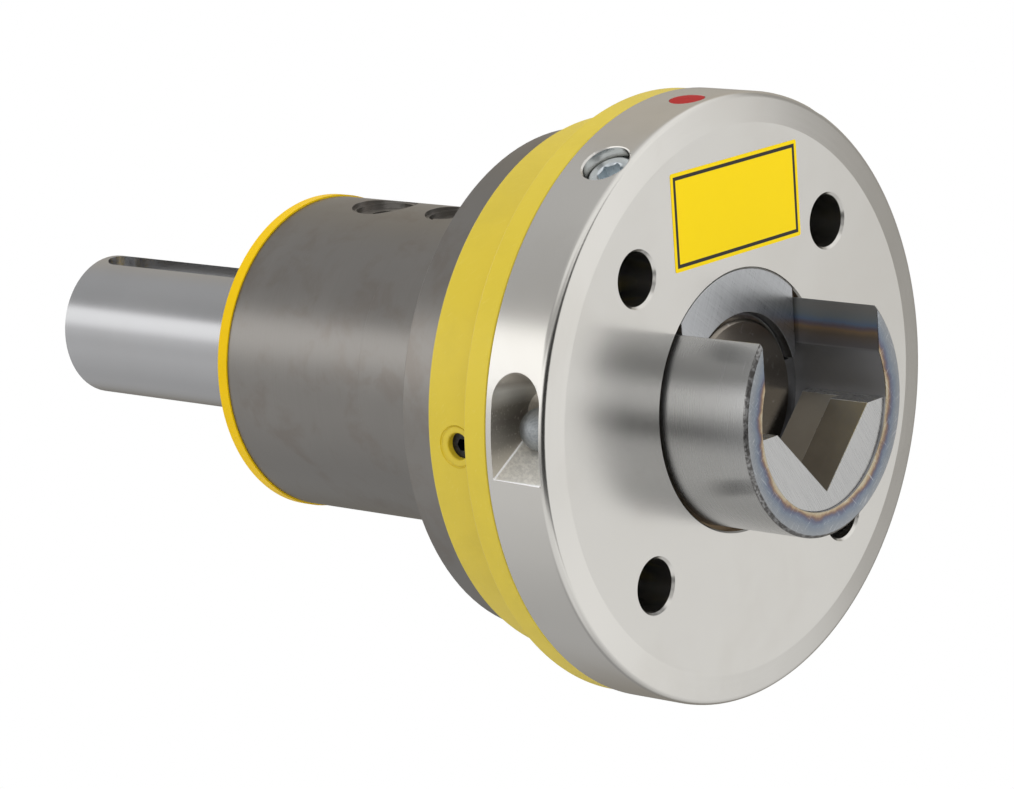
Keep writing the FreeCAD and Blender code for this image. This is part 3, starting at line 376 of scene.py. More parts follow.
def ramp(tree, value, stops):
    """Colour ramp from (place, colour) stops; gives its colour."""
    made = tree.nodes.new("ShaderNodeValToRGB")
    join(tree, value, made.inputs[0])
    entries = made.color_ramp.elements
    while len(entries) < len(stops):
        entries.new(0.5)
    for entry, (place, colour) in zip(entries, stops):
        entry.position = place
        entry.color = (*colour, 1.0)
    return made.outputs[0]


def new_group(name, inputs, outputs):
    """Empty shader group with named inputs and outputs; gives tree, input and output."""
    tree = bpy.data.node_groups.new(name, "ShaderNodeTree")
    for label, kind, value in inputs:
        socket = tree.interface.new_socket(label, in_out="INPUT", socket_type=kind)
        if value is not None:
            socket.default_value = value
    for label, kind in outputs:
        tree.interface.new_socket(label, in_out="OUTPUT", socket_type=kind)
    return tree, tree.nodes.new("NodeGroupInput"), tree.nodes.new("NodeGroupOutput")


FLOAT, VECTOR = "NodeSocketFloat", "NodeSocketVector"


def build_place_group():
    """Millimetre place on the part: radius from the chuck axis, station, x and z."""
    tree, _, out = new_group("place on the chuck", [], [
        ("Millimetres", VECTOR), ("Radius", FLOAT), ("Station", FLOAT), ("Across", FLOAT),
        ("Height", FLOAT)])
    where = node(tree, "ShaderNodeTexCoord")
    scale = node(tree, "ShaderNodeVectorMath", operation="SCALE", Vector=where.outputs["Object"],
                 Scale=1 / MM)
    x, y, z = node(tree, "ShaderNodeSeparateXYZ", Vector=scale.outputs[0]).outputs
    join(tree, scale.outputs[0], out.inputs["Millimetres"])
    join(tree, from_axis(tree, x, z), out.inputs["Radius"])
    join(tree, y, out.inputs["Station"])
    join(tree, x, out.inputs["Across"])
    join(tree, z, out.inputs["Height"])
    return tree


def build_turning_group():
    """Fine rings left by turning or cylindrical grinding, and a slow drift of tone."""
    tree, inp, out = new_group(
        "turning rings", [("Millimetres", VECTOR, None), ("Rings", FLOAT, 2.0), ("Fade", FLOAT, 0.05)],
        [("Rings", FLOAT), ("Drift", FLOAT)])
    millimetres = inp.outputs["Millimetres"]
    x, y, z = node(tree, "ShaderNodeSeparateXYZ", Vector=millimetres).outputs
    profile = node(tree, "ShaderNodeCombineXYZ", X=from_axis(tree, x, z), Y=y)
    fine = node(tree, "ShaderNodeTexNoise", noise_dimensions="2D", Vector=profile.outputs[0],
                Scale=inp.outputs["Rings"], Detail=4.0, Roughness=0.7)
    drift = node(tree, "ShaderNodeTexNoise", Vector=millimetres, Scale=inp.outputs["Fade"], Detail=2.0)
    join(tree, fine.outputs[0], out.inputs["Rings"])
    join(tree, drift.outputs[0], out.inputs["Drift"])
    return tree


def build_stroke_group():
    """Straight strokes of a grinding wheel or an abrasive cloth."""
    tree, inp, out = new_group(
        "abrasive strokes",
        [("Millimetres", VECTOR, None), ("Turn", VECTOR, None), ("Stretch", VECTOR, None)],
        [("Strokes", FLOAT)])
    turn = node(tree, "ShaderNodeMapping", Vector=inp.outputs["Millimetres"],
                Rotation=inp.outputs["Turn"])
    stretch = node(tree, "ShaderNodeVectorMath", operation="MULTIPLY", Vector=turn.outputs[0])
    join(tree, inp.outputs["Stretch"], stretch.inputs[1])
    noise = node(tree, "ShaderNodeTexNoise", Vector=stretch.outputs[0], Scale=1.0, Detail=3.0,
                 Roughness=0.65)
    join(tree, noise.outputs[0], out.inputs["Strokes"])
    return tree


def build_stain_group():
    """Soft stains and handling marks."""
    tree, inp, out = new_group(
        "stains", [("Millimetres", VECTOR, None), ("Size", FLOAT, 20.0), ("Low", FLOAT, 0.45),
                   ("High", FLOAT, 0.7)],
        [("Mask", FLOAT), ("Grain", FLOAT)])
    millimetres = inp.outputs["Millimetres"]
    scale = maths(tree, "DIVIDE", 1.0, inp.outputs["Size"])
    large = node(tree, "ShaderNodeTexNoise", Vector=millimetres, Scale=scale, Detail=5.0, Roughness=0.6,
                 Distortion=0.4)
    mask = spread(tree, large.outputs[0], inp.outputs["Low"], inp.outputs["High"])
    grain = node(tree, "ShaderNodeTexNoise", Vector=millimetres, Scale=3.0, Detail=2.0)
    join(tree, mask, out.inputs["Mask"])
    join(tree, grain.outputs[0], out.inputs["Grain"])
    return tree


PLACE = build_place_group()
TURNING = build_turning_group()
STROKES = build_stroke_group()
STAINS = build_stain_group()


def use(tree, group, place=None, **values):
    """Sets a group in a material with its own values, fed from the place outputs."""
    made = tree.nodes.new("ShaderNodeGroup")
    made.node_tree = group
    if place is not None:
        join(tree, place["Millimetres"], made.inputs["Millimetres"])
    for key, value in values.items():
        made.inputs[key].default_value = value
    return made


def start_material(name, colour, roughness, metallic=1.0, **sockets):
    """Material with a Principled shader; gives material, tree, shader and place outputs."""
    material = bpy.data.materials.new(name)
    material.use_nodes = True
    tree = material.node_tree
    tree.nodes.clear()
    shader = node(tree, "ShaderNodeBsdfPrincipled", Base_Color=(*colour, 1.0), Roughness=roughness,
                  Metallic=metallic, **sockets)
    node(tree, "ShaderNodeOutputMaterial", Surface=shader.outputs[0])
    material.diffuse_color = (*colour, 1.0)
    return material, tree, shader, use(tree, PLACE).outputs


def bump(tree, shader, height, strength, distance, after=None):
    """Bump from a height value, chained after another bump if given."""
    made = node(tree, "ShaderNodeBump", Strength=strength, Distance=distance * MM, Height=height)
    if after is not None:
        join(tree, after, made.inputs["Normal"])
    join(tree, made.outputs[0], shader.inputs["Normal"])
    return made.outputs[0]


def radial_tangent(tree, shader):
    """Brushed look that runs round the chuck axis."""
    tangent = node(tree, "ShaderNodeTangent", direction_type="RADIAL", axis="Y")
    join(tree, tangent.outputs[0], shader.inputs["Tangent"])


def turned_metal(name, colour, roughness, rings, rough_swing, colour_swing, bumpiness,
                 stain=None, stain_share=0.0, stain_size=0.0, **sockets):
    """Turned or ground metal: rings round the axis, drifting tone, and stains."""
    material, tree, shader, place = start_material(
        name, colour, roughness, Anisotropic_Rotation=0.25, **sockets)
    turning = use(tree, TURNING, place, Rings=rings, Fade=0.035)
    ring_value = turning.outputs["Rings"]
    drift = turning.outputs["Drift"]
    tone = maths(tree, "ADD", times(tree, less(tree, ring_value, 0.5), colour_swing),
                 times(tree, less(tree, drift, 0.5), colour_swing * 1.6))
    shade = maths(tree, "ADD", tone, 1.0)
    final = node(tree, "ShaderNodeVectorMath", operation="SCALE", Vector=colour, Scale=shade).outputs[0]
    if stain is not None:
        stains = use(tree, STAINS, place, Size=stain_size, Low=0.46, High=0.68)
        share = times(tree, stains.outputs["Mask"], stain_share)
        final = mixed(tree, share, final, stain)
    join(tree, final, shader.inputs["Base Color"])
    rough = maths(tree, "ADD", times(tree, less(tree, ring_value, 0.5), rough_swing),
                  maths(tree, "ADD", times(tree, drift, rough_swing), roughness - rough_swing / 2))
    join(tree, rough, shader.inputs["Roughness"])
    bump(tree, shader, ring_value, bumpiness, 0.02)
    radial_tangent(tree, shader)
    return material, tree, shader, place, final


# Materials


def make_nickel():
    """Satin nickel plate of the handwheel."""
    return turned_metal(
        "satin_nickel", (0.640, 0.624, 0.590), 0.22, rings=1.6, rough_swing=0.05, colour_swing=0.04,
        bumpiness=0.025, stain=(0.56, 0.535, 0.49), stain_share=0.3, stain_size=60, Anisotropic=0.6)[0]


def make_pocket_nickel():
    """Milled and plated surface inside the finger pocket, with painted shade at mid height and a painted
    highlight band above it.
    """
    material, tree, shader, place = start_material("milled_nickel_painted_shade", (0.80, 0.76, 0.70), 0.38, 0.85)
    strokes = use(tree, STROKES, place, Turn=(0.2, 0.9, 0.4), Stretch=(0.5, 4.0, 1.2))
    # Painted shade and painted highlight: the colour follows height, dark at mid height with a bright band
    # near the top.
    base = ramp(tree, spread(tree, place["Height"], -8.0, 32.0),
                [(0.0, (0.74, 0.70, 0.63)), (0.25, (0.50, 0.47, 0.42)), (0.50, (0.36, 0.33, 0.29)),
                 (0.66, (0.42, 0.39, 0.34)), (0.78, (0.90, 0.87, 0.80)), (0.86, (0.95, 0.92, 0.85)),
                 (0.92, (0.55, 0.51, 0.45)), (1.0, (0.66, 0.62, 0.56))])
    fine = spread(tree, strokes.outputs[0], 0.56, 0.76)
    join(tree, mixed(tree, fine, base, (0.86, 0.83, 0.77)), shader.inputs["Base Color"])
    join(tree, spread(tree, strokes.outputs[0], 0.3, 0.7, 0.30, 0.50), shader.inputs["Roughness"])
    bump(tree, shader, strokes.outputs[0], 0.22, 0.04)
    return material


def make_sleeve_steel():
    """Hardened jaw sleeve: ground outside, heat tint on its front and on the slot's flats, and painted
    shade on the front edge's round.
    """
    material, tree, shader, place, final = turned_metal(
        "hardened_ground_steel", (0.50, 0.505, 0.51), 0.27, rings=2.2, rough_swing=0.04, colour_swing=0.03,
        bumpiness=0.015, stain=(0.44, 0.435, 0.43), stain_share=0.25, stain_size=60, Anisotropic=0.8)
    wobble = use(tree, STAINS, place, Size=9.0, Low=0.2, High=0.8)
    shift = times(tree, less(tree, wobble.outputs["Mask"], 0.5), 2.2)
    from_bore = less(tree, place["Radius"], JAW_BORE_R)
    along = maths(tree, "DIVIDE", maths(tree, "ADD", from_bore, shift), JAW_R - JAW_BORE_R)
    front_tint = ramp(tree, along,
                      [(0.00, (0.52, 0.46, 0.34)), (0.08, (0.44, 0.33, 0.21)), (0.16, (0.23, 0.155, 0.13)),
                       (0.27, (0.145, 0.15, 0.21)), (0.42, (0.205, 0.24, 0.295)),
                       (0.68, (0.275, 0.297, 0.322)), (1.00, (0.34, 0.35, 0.36))])
    crossed = use(tree, STROKES, place, Turn=(0, radians(38), 0), Stretch=(0.18, 1.0, 3.2))
    other = use(tree, STROKES, place, Turn=(0, radians(-47), 0), Stretch=(0.15, 1.0, 2.6))
    scratch = maths(tree, "MAXIMUM", spread(tree, crossed.outputs[0], 0.60, 0.72),
                    spread(tree, other.outputs[0], 0.62, 0.74))
    front_colour = mixed(tree, times(tree, scratch, 0.45), front_tint, (0.70, 0.72, 0.74))
    on_front = spread(tree, place["Station"], JAW_FRONT + 0.45, JAW_FRONT + 0.2)
    coloured = mixed(tree, on_front, final, front_colour)
    flat_place = maths(tree, "ABSOLUTE", less(tree, maths(tree, "ABSOLUTE", place["Across"]), SLOT_HALF))
    on_flat = times(tree, spread(tree, flat_place, 0.30, 0.12), spread(tree, place["Height"], 12.6, 13.6))
    on_flat = times(tree, on_flat, less(tree, 1.0, on_front))
    flat_height = maths(tree, "ADD", place["Height"], times(tree, shift, 0.4))
    flat_tint = ramp(tree, spread(tree, flat_height, 13.0, 30.0),
                     [(0.00, (0.26, 0.25, 0.26)), (0.20, (0.27, 0.22, 0.18)), (0.33, (0.42, 0.30, 0.19)),
                      (0.45, (0.28, 0.23, 0.27)), (0.56, (0.26, 0.35, 0.50)), (0.72, (0.34, 0.38, 0.41)),
                      (0.93, (0.38, 0.38, 0.37))])
    coloured = mixed(tree, on_flat, coloured, flat_tint)
    bore = times(tree, spread(tree, place["Radius"], JAW_BORE_R + 0.3, JAW_BORE_R + 0.1),
                 less(tree, 1.0, on_front))
    coloured = mixed(tree, times(tree, bore, 0.75), coloured, (0.36, 0.36, 0.375))
    # Painted shade: the front edge's round is darkened and speckled dark, except towards the +X side.
    speck = use(tree, STAINS, place, Size=1.3, Low=0.40, High=0.58)
    front_edge_band = times(tree, spread(tree, place["Radius"], JAW_R - 1.3, JAW_R - 0.9),
                       spread(tree, place["Station"], JAW_FRONT + 1.5, JAW_FRONT + 1.1))
    lower_left = spread(tree, place["Across"], 28.0, 8.0)
    dark_edge = times(tree, times(tree, front_edge_band, speck.outputs["Mask"]), lower_left)
    edge_painted_shade = times(tree, times(tree, front_edge_band, lower_left), 0.72)
    coloured = mixed(tree, edge_painted_shade, coloured, (0.22, 0.215, 0.21))
    coloured = mixed(tree, times(tree, dark_edge, 0.8), coloured, (0.06, 0.056, 0.052))
    join(tree, coloured, shader.inputs["Base Color"])
    inside = maths(tree, "MAXIMUM", bore, on_flat)
    plain = shader.inputs["Roughness"].links[0].from_socket
    mellow = maths(tree, "MULTIPLY_ADD", inside, 0.20, plain)
    join(tree, mellow, shader.inputs["Roughness"])
    return material


def brushed(name, colour, roughness, turn, stretch, swing, bumpiness=0.15, second=None, tint=None,
            **sockets):
    """Flat-ground metal with straight strokes, and a second set across them if asked."""
    material, tree, shader, place = start_material(name, colour, roughness, **sockets)
    strokes = use(tree, STROKES, place, Turn=turn, Stretch=stretch)
    value = strokes.outputs[0]
    if second is not None:
        other = use(tree, STROKES, place, Turn=second, Stretch=stretch)
        value = times(tree, maths(tree, "ADD", value, other.outputs[0]), 0.5)
    light = tuple(min(1.0, channel * (1 + swing)) for channel in colour)
    dark = tuple(channel * (1 - swing) for channel in colour)
    base = mixed(tree, spread(tree, value, 0.36, 0.64), dark, light)
    if tint is not None:
        stains = use(tree, STAINS, place, Size=14.0, Low=0.45, High=0.7)
        base = mixed(tree, times(tree, stains.outputs["Mask"], 0.4), base, tint)
    join(tree, base, shader.inputs["Base Color"])
    rough = spread(tree, value, 0.3, 0.7, roughness - 0.06, roughness + 0.08)
    join(tree, rough, shader.inputs["Roughness"])
    bump(tree, shader, value, bumpiness, 0.03)
    return material


def enamel(name, colour, worn, roughness=0.38, gloss=0.08, **sockets):
    """Satin enamel with fine handling scratches and a faint orange peel."""
    material, tree, shader, place = start_material(
        name, colour, roughness, metallic=0.0, Coat_Weight=gloss, Coat_Roughness=0.22, **sockets)
    strokes = use(tree, STROKES, place, Turn=(0.3, 0.5, 1.1), Stretch=(0.12, 2.4, 0.7))
    rings = use(tree, TURNING, place, Rings=0.9, Fade=0.05)
    stains = use(tree, STAINS, place, Size=30.0, Low=0.4, High=0.75)
    scratch = spread(tree, strokes.outputs[0], 0.60, 0.74, 0.0, 0.35)
    deep = tuple(channel * 0.86 for channel in colour)
    base = mixed(tree, times(tree, stains.outputs["Mask"], 0.6), colour, deep)
    join(tree, mixed(tree, scratch, base, worn), shader.inputs["Base Color"])
    join(tree, spread(tree, stains.outputs["Grain"], 0.3, 0.7, roughness - 0.05, roughness + 0.07),
         shader.inputs["Roughness"])
    first = bump(tree, shader, stains.outputs["Grain"], 0.10, 0.03)
    bump(tree, shader, rings.outputs["Rings"], 0.06, 0.03, after=first)
    return material


def make_shaft_steel():
    """Ground shaft with a brownish, speckled nose inside the jaw."""
    material, tree, shader, place, final = turned_metal(
        "ground_shaft_steel", (0.465, 0.467, 0.475), 0.24, rings=1.4, rough_swing=0.06, colour_swing=0.05,
        bumpiness=0.06, stain=(0.44, 0.435, 0.43), stain_share=0.2, stain_size=50, Anisotropic=0.6)
    nose = times(tree, spread(tree, place["Station"], -70.0, -72.0),
                 spread(tree, place["Radius"], 29.5, 28.5))
    speck = use(tree, STAINS, place, Size=3.0, Low=0.60, High=0.68)
    brown = mixed(tree, speck.outputs["Mask"], (0.26, 0.232, 0.198), (0.40, 0.38, 0.35))
    join(tree, mixed(tree, nose, final, brown), shader.inputs["Base Color"])
    return material


def make_label_film():
    """Plain yellow film with a thin dark line inside its edge."""
    yellow = (0.97, 0.70, 0.0)
    material, tree, shader, place = start_material(
        "yellow_film", yellow, 0.36, metallic=0.0, Specular_IOR_Level=0.12)
    side = less(tree, maths(tree, "ABSOLUTE", less(tree, place["Across"], LABEL_X)), LABEL_HALF_X)
    top = less(tree, maths(tree, "ABSOLUTE", less(tree, place["Height"], LABEL_Z)), LABEL_HALF_Z)
    edge = maths(tree, "MAXIMUM", side, top)
    line = times(tree, spread(tree, edge, -2.6, -2.45), spread(tree, edge, -1.2, -1.35))
    stains = use(tree, STAINS, place, Size=16.0, Low=0.4, High=0.8)
    base = mixed(tree, times(tree, stains.outputs["Mask"], 0.12), yellow, (0.86, 0.61, 0.0))
    join(tree, mixed(tree, line, base, (0.03, 0.03, 0.028)), shader.inputs["Base Color"])
    bump(tree, shader, stains.outputs["Grain"], 0.05, 0.02)
    return material


NICKEL = make_nickel()
POCKET_NICKEL_PAINTED_SHADE = make_pocket_nickel()
SLEEVE_STEEL = make_sleeve_steel()
# Painted light: the pocket's upward-facing ramp gets a lighter, less metallic copy of the nickel.
RAMP_NICKEL_PAINTED_LIGHT = brushed("ramp_nickel_painted_light", (0.88, 0.86, 0.80), 0.50, (0.3, POCKET_SLOPE, 0.5), (0.9, 0.12, 2.2),
                      swing=0.10, tint=(0.72, 0.69, 0.62), metallic=0.6)
# Painted highlight: a near-white, barely metallic copy of the nickel for the pocket's lower ridge.
RIDGE_PAINTED_HIGHLIGHT = brushed("ridge_painted_highlight", (0.97, 0.96, 0.94), 0.50, (0, 0, 0), (1.5, 1.5, 1.5),
                       swing=0.08, metallic=0.2)
BLOCK_STEEL = brushed("ground_block_steel", (0.50, 0.50, 0.495), 0.30, (0, radians(-56), 0),
                      (0.07, 0.4, 2.6), swing=0.09, bumpiness=0.10)
SEAT_STEEL = brushed("v_seat_steel", (0.225, 0.208, 0.180), 0.32, (0, 0, 0), (0.05, 0.05, 0.05),
                     swing=0.06, bumpiness=0.0)
RELIEF_STEEL = brushed("v_relief_steel", (0.36, 0.345, 0.315), 0.36, (0, 0, 0), (0.05, 0.05, 0.05),
                       swing=0.06, bumpiness=0.0)
SEGMENT_STEEL = brushed("cross_brushed_steel", (0.46, 0.47, 0.482), 0.32, (0, radians(62), 0),
                        (0.08, 0.4, 3.0), swing=0.12, bumpiness=0.10, second=(0, radians(-38), 0))
SHAFT_STEEL = make_shaft_steel()
HOUSING_STEEL = turned_metal("burnished_housing_steel", (0.255, 0.243, 0.228), 0.33, rings=1.3,
                             rough_swing=0.12, colour_swing=0.10, bumpiness=0.08,
                             stain=(0.225, 0.200, 0.178), stain_share=0.6, stain_size=15,
                             Anisotropic=0.6)[0]
GUARD_ENAMEL = enamel("guard_enamel", (0.700, 0.540, 0.030), (0.78, 0.66, 0.15))
COVER_ENAMEL = enamel("cover_enamel", (0.90, 0.58, 0.0), (0.95, 0.68, 0.04), gloss=0.0,
                      Specular_IOR_Level=0.15)
ZINC = brushed("bright_zinc", (0.66, 0.71, 0.74), 0.33, (0.4, 0.7, 0.2), (0.8, 0.8, 0.8), swing=0.05,
               bumpiness=0.04)
BALL_STEEL = brushed("matt_ball_steel", (0.33, 0.345, 0.355), 0.48, (0.5, 0.2, 0.9), (0.6, 2.2, 1.6),
                     swing=0.14)
BLACK_OXIDE = brushed("black_oxide", (0.045, 0.045, 0.048), 0.42, (0.1, 0.6, 0.3), (1.0, 1.0, 1.0),
                      swing=0.25)
BEARING_STEEL = turned_metal("bearing_steel", (0.60, 0.60, 0.61), 0.14, rings=3.0, rough_swing=0.04,
                             colour_swing=0.04, bumpiness=0.03)[0]
SPRING_STEEL = brushed("spring_steel", (0.22, 0.225, 0.235), 0.34, (0.1, 0.4, 0.3), (1.0, 1.0, 1.0),
                       swing=0.2)
CAGE_BRASS = turned_metal("cage_brass", (0.62, 0.44, 0.17), 0.30, rings=1.8, rough_swing=0.08,
                          colour_swing=0.08, bumpiness=0.08)[0]
BUSH_BRONZE = turned_metal("bush_bronze", (0.22, 0.16, 0.10), 0.45, rings=1.8, rough_swing=0.1,
                           colour_swing=0.1, bumpiness=0.08)[0]
SEAL_RUBBER = enamel("seal_rubber", (0.022, 0.022, 0.022), (0.05, 0.05, 0.05), roughness=0.62,
                     gloss=0.0)
RED_PAINT = enamel("red_paint", (0.40, 0.004, 0.004), (0.46, 0.02, 0.02), roughness=0.55, gloss=0.0,
                   Specular_IOR_Level=0.2)
LABEL_FILM = make_label_film()

CAD_FINISH = {
    "housing": HOUSING_STEEL,
    "rear_cover": COVER_ENAMEL,
    "main_shaft": SHAFT_STEEL,
    "guide_bush": BUSH_BRONZE,
    "release_button": BALL_STEEL,
}
CAD_FINISH.update(dict.fromkeys(("rear_cover_screws", "spring_seat"), ZINC))
CAD_FINISH.update(dict.fromkeys(("guard_ring_screws", "jaw_screws", "v_block_screw"), BLACK_OXIDE))
CAD_FINISH.update(dict.fromkeys(("pawl_pin", "lock_pawl"), SPRING_STEEL))
CAD_FINISH["bearing_spacer"] = BEARING_STEEL
for end in ("front", "rear"):
    CAD_FINISH[end + "_seal"] = SEAL_RUBBER
    CAD_FINISH[end + "_retaining_ring"] = SPRING_STEEL
    CAD_FINISH[end + "_bearing_cage"] = CAGE_BRASS
    for part in ("outer_race", "inner_race", "balls"):
        CAD_FINISH[end + "_bearing_" + part] = BEARING_STEEL
for name, finish in CAD_FINISH.items():
    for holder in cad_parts[name].material_slots:
        holder.material = finish


def dress(piece, body, finish, slot, *nodes):
    """Material, body and the solids that the piece stands for; the slot argument is not used."""
    if piece.data.materials:
        piece.data.materials[0] = finish
    else:
        piece.data.materials.append(finish)
    if nodes:
        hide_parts(*nodes)
    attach(piece, body)
    return piece


# Pieces


def make_handwheel():
    """Handwheel: turned blank, finger pocket, holes for keys and screws."""
    wheel = turned("handwheel_rim", [
        (WHEEL_BORE_R, WHEEL_FACE + 0.6), (WHEEL_BORE_R + 0.6, WHEEL_FACE), (BEVEL_R, WHEEL_FACE, 2.0),
        (WHEEL_R, WHEEL_FACE + BEVEL_DROP, RIM_ROUND), (WHEEL_R, WHEEL_REAR - 0.8),
        (WHEEL_R - 0.8, WHEEL_REAR), (HUB_R, WHEEL_REAR), (HUB_R, HUB_REAR - 1.0),
        (HUB_R - 1.0, HUB_REAR), (WHEEL_BORE_R, HUB_REAR),
    ])
    rise = tan(POCKET_SLOPE)
    outer_x, end_x = -WHEEL_R - 4, -WHEEL_R + POCKET_DEPTH
    inner_x = -60

    def floor_z(x):
        return POCKET_FLOOR_Z + (x + WHEEL_R) * rise

    def axis_z(x):
        return POCKET_AXIS_Z - (x + WHEEL_R) * rise

    def on_floor(point):
        return abs(point.z - floor_z(point.x)) < 0.01

    lower = plate("pocket_lower", [(outer_x, floor_z(outer_x)), (end_x, floor_z(end_x)),
                                   (end_x, axis_z(end_x)), (outer_x, axis_z(outer_x))],
                  POCKET_Y - POCKET_HALF, POCKET_Y + POCKET_HALF)
    bevel_where(lower, 0.6, 4, lambda a, b: abs(a.y - b.y) < 0.01 and on_floor(a) and on_floor(b))
    run = Vector((1, 0, -rise)).normalized()
    foot = Vector((outer_x - 10, POCKET_Y, axis_z(outer_x - 10)))
    length = 60
    scoop = turned("pocket_scoop", [(0, 0), (POCKET_HALF, 0), (POCKET_HALF, length), (0, length)],
                   closed=False, steps=96)
    placed(scoop, foot, run)
    edit_all(scoop)
    normal = Vector((rise, 0, 1)).normalized()
    bpy.ops.mesh.bisect(plane_co=(foot - normal * 0.03) * MM, plane_no=normal, clear_inner=True,
                        use_fill=True)
    bpy.ops.mesh.select_all(action="SELECT")
    bpy.ops.mesh.bisect(plane_co=(end_x * MM, 0, 0), plane_no=(1, 0, 0), clear_outer=True, use_fill=True)
    bpy.ops.object.mode_set(mode="OBJECT")
    button_foot = (-WHEEL_R + 4, POCKET_Y, BUTTON_Z)
    tools = [
        drill(BUTTON_R + 0.05, 60, 0, button_foot, (1, 0, 0), above=0.5),
        block("pawl_room", PAWL_ROOM_X0, PAWL_ROOM_X1, POCKET_Y - 5.5, HUB_REAR + 1,
              BUTTON_Z - PAWL_ROOM_HALF, BUTTON_Z + PAWL_ROOM_HALF),
        lower,
        scoop,
    ]
    for k in range(4):
        angle = 45 + 90 * k
        front = at_clock(angle, HOLE_CIRCLE_R, WHEEL_FACE)
        tools.append(drill(ACCESS_R - 0.05, 27, 0.85, front, (0, 1, 0)))
    mouth_r = WHEEL_R - 0.3
    for angle in (-SCREW_ANGLE, SCREW_ANGLE):
        mouth = at_clock(angle, mouth_r, SCREW_Y)
        tools.append(drill(COUNTERBORE_R, mouth_r - SCREW_SEAT_R, 0.35, mouth, -outward(angle)))
    marker = at_clock(MARKER_CLOCK, WHEEL_R, MARKER_Y)
    tools.append(drill(MARKER_R, 1.2, 0, marker, -outward(MARKER_CLOCK), above=1.3, steps=64))
    combine(wheel, tools)

    def on_lip(point):
        close = abs(point.z - floor_z(point.x)) < 0.05
        return close and abs(radius_of(point) - WHEEL_R) < 0.3 and point.x < 0

    bevel_where(wheel, 0.4, 2, lambda a, b: on_lip(a) and on_lip(b))
    break_edges(wheel, 0.18, angle=55)
    dress(wheel, "handwheel", NICKEL, "nickel_plate", "handwheel")

    def in_pocket(middle, normal):
        radius = radius_of(middle)
        radial = abs(normal.x * middle.x + normal.z * middle.z) / radius
        on_rim = radius >= WHEEL_R - 3 and radial >= 0.9
        if on_rim or middle.x >= inner_x:
            return False
        return abs(middle.y - POCKET_Y) < POCKET_HALF + 0.1 and -8 < middle.z < 34

    def on_ramp(middle, normal):
        return in_pocket(middle, normal) and normal.z > 0.8 and normal.x < -0.3

    def on_ridge(middle, normal):
        if middle.x > inner_x or abs(middle.y - POCKET_Y) > POCKET_HALF + 0.5:
            return False
        if abs(middle.z - floor_z(middle.x)) > 1.2 or not 0.2 < normal.z < 0.86:
            return False
        if in_pocket(middle, normal) and 0.1 < abs(normal.y) < 0.9:
            return True
        return abs(normal.y) < 0.2 and normal.z < 0.8

    # The pocket's faces get the nickel with painted shade and painted highlight.
    assign_where(wheel, POCKET_NICKEL_PAINTED_SHADE, in_pocket)
    # Painted light on the ramp's upward faces.
    assign_where(wheel, RAMP_NICKEL_PAINTED_LIGHT, on_ramp)
    # Painted highlight along the pocket's lower ridge.
    assign_where(wheel, RIDGE_PAINTED_HIGHLIGHT, on_ridge)
    return wheel


def make_jaw_sleeve():
    """Jaw sleeve with its open slot, the pawl's groove and the hole for the V block's screw."""
    sleeve = turned("jaw_sleeve_body", [
        (JAW_BORE_R, JAW_FRONT), (JAW_R - 1.0, JAW_FRONT, 0.25), (JAW_R, JAW_FRONT + 1.0, 0.4),
        (JAW_R, JAW_REAR), (JAW_BORE_R, JAW_REAR),
    ])
    slot = block("slot", -SLOT_HALF, SLOT_HALF, JAW_FRONT - 1, SLOT_END, 0, 60)
    groove = block("groove", -JAW_R - 2, -JAW_R + GROOVE_DEPTH, GROOVE_FRONT, GROOVE_REAR,
                   BUTTON_Z - GROOVE_HALF, BUTTON_Z + GROOVE_HALF)
    screw = turned("screw_sink", [
        (0, -2), (V_SCREW_HEAD_R, -2), (V_SCREW_HEAD_R, 0.6), (V_SCREW_R, 5.0), (V_SCREW_R, V_SCREW_DEPTH),
        (0, V_SCREW_DEPTH),
    ], closed=False, steps=64)
    placed(screw, (0, V_SCREW_Y, -JAW_R), (0, 0, 1))
    combine(sleeve, [slot, groove, screw])
    break_edges(sleeve, 0.3)
    return dress(sleeve, "shaft", SLEEVE_STEEL, "hardened_steel", "jaw_sleeve")


def is_flank(normal):
    """True for a face of the V that rises at 45 degrees."""
    return abs(normal.y) < 0.1 and normal.z > 0.6 and abs(normal.x) > 0.6


def make_v_block():
    """V block with its ground seat in front and the relieved part behind."""
    top_x = sqrt(V_BLOCK_R ** 2 - V_TOP ** 2)
    start = atan2(V_TOP, -top_x)
    end = atan2(V_TOP, top_x)
    count = 72
    arc = []
    for k in range(count + 1):
        angle = start + (end - start) * k / count
        arc.append((V_BLOCK_R * cos(angle), V_BLOCK_R * sin(angle)))
    seat_x = V_TOP - V_APEX
    notch = [(seat_x, V_TOP), (0, V_APEX), (-seat_x, V_TOP)]
    body = plate("v_block_body", arc + notch, V_FRONT, V_REAR)
    above = 5
    relief_x = above - V_RELIEF_APEX
    relief = plate("relief", [(-relief_x, above), (0, V_RELIEF_APEX), (relief_x, above)],
                   V_SEAT_END, V_REAR + 1)
    screw = drill(V_SCREW_R, V_SCREW_DEPTH, 0, (0, V_SCREW_Y, -JAW_R), (0, 0, 1), steps=48)
    combine(body, [relief, screw])
    break_edges(body, 0.35)
    dress(body, "shaft", BLOCK_STEEL, "ground_steel", "v_block")
    assign_where(body, SEAT_STEEL, lambda middle, normal: is_flank(normal) and middle.y < V_SEAT_END)
    assign_where(body, RELIEF_STEEL, lambda middle, normal: is_flank(normal) and middle.y > V_SEAT_END)
    return body


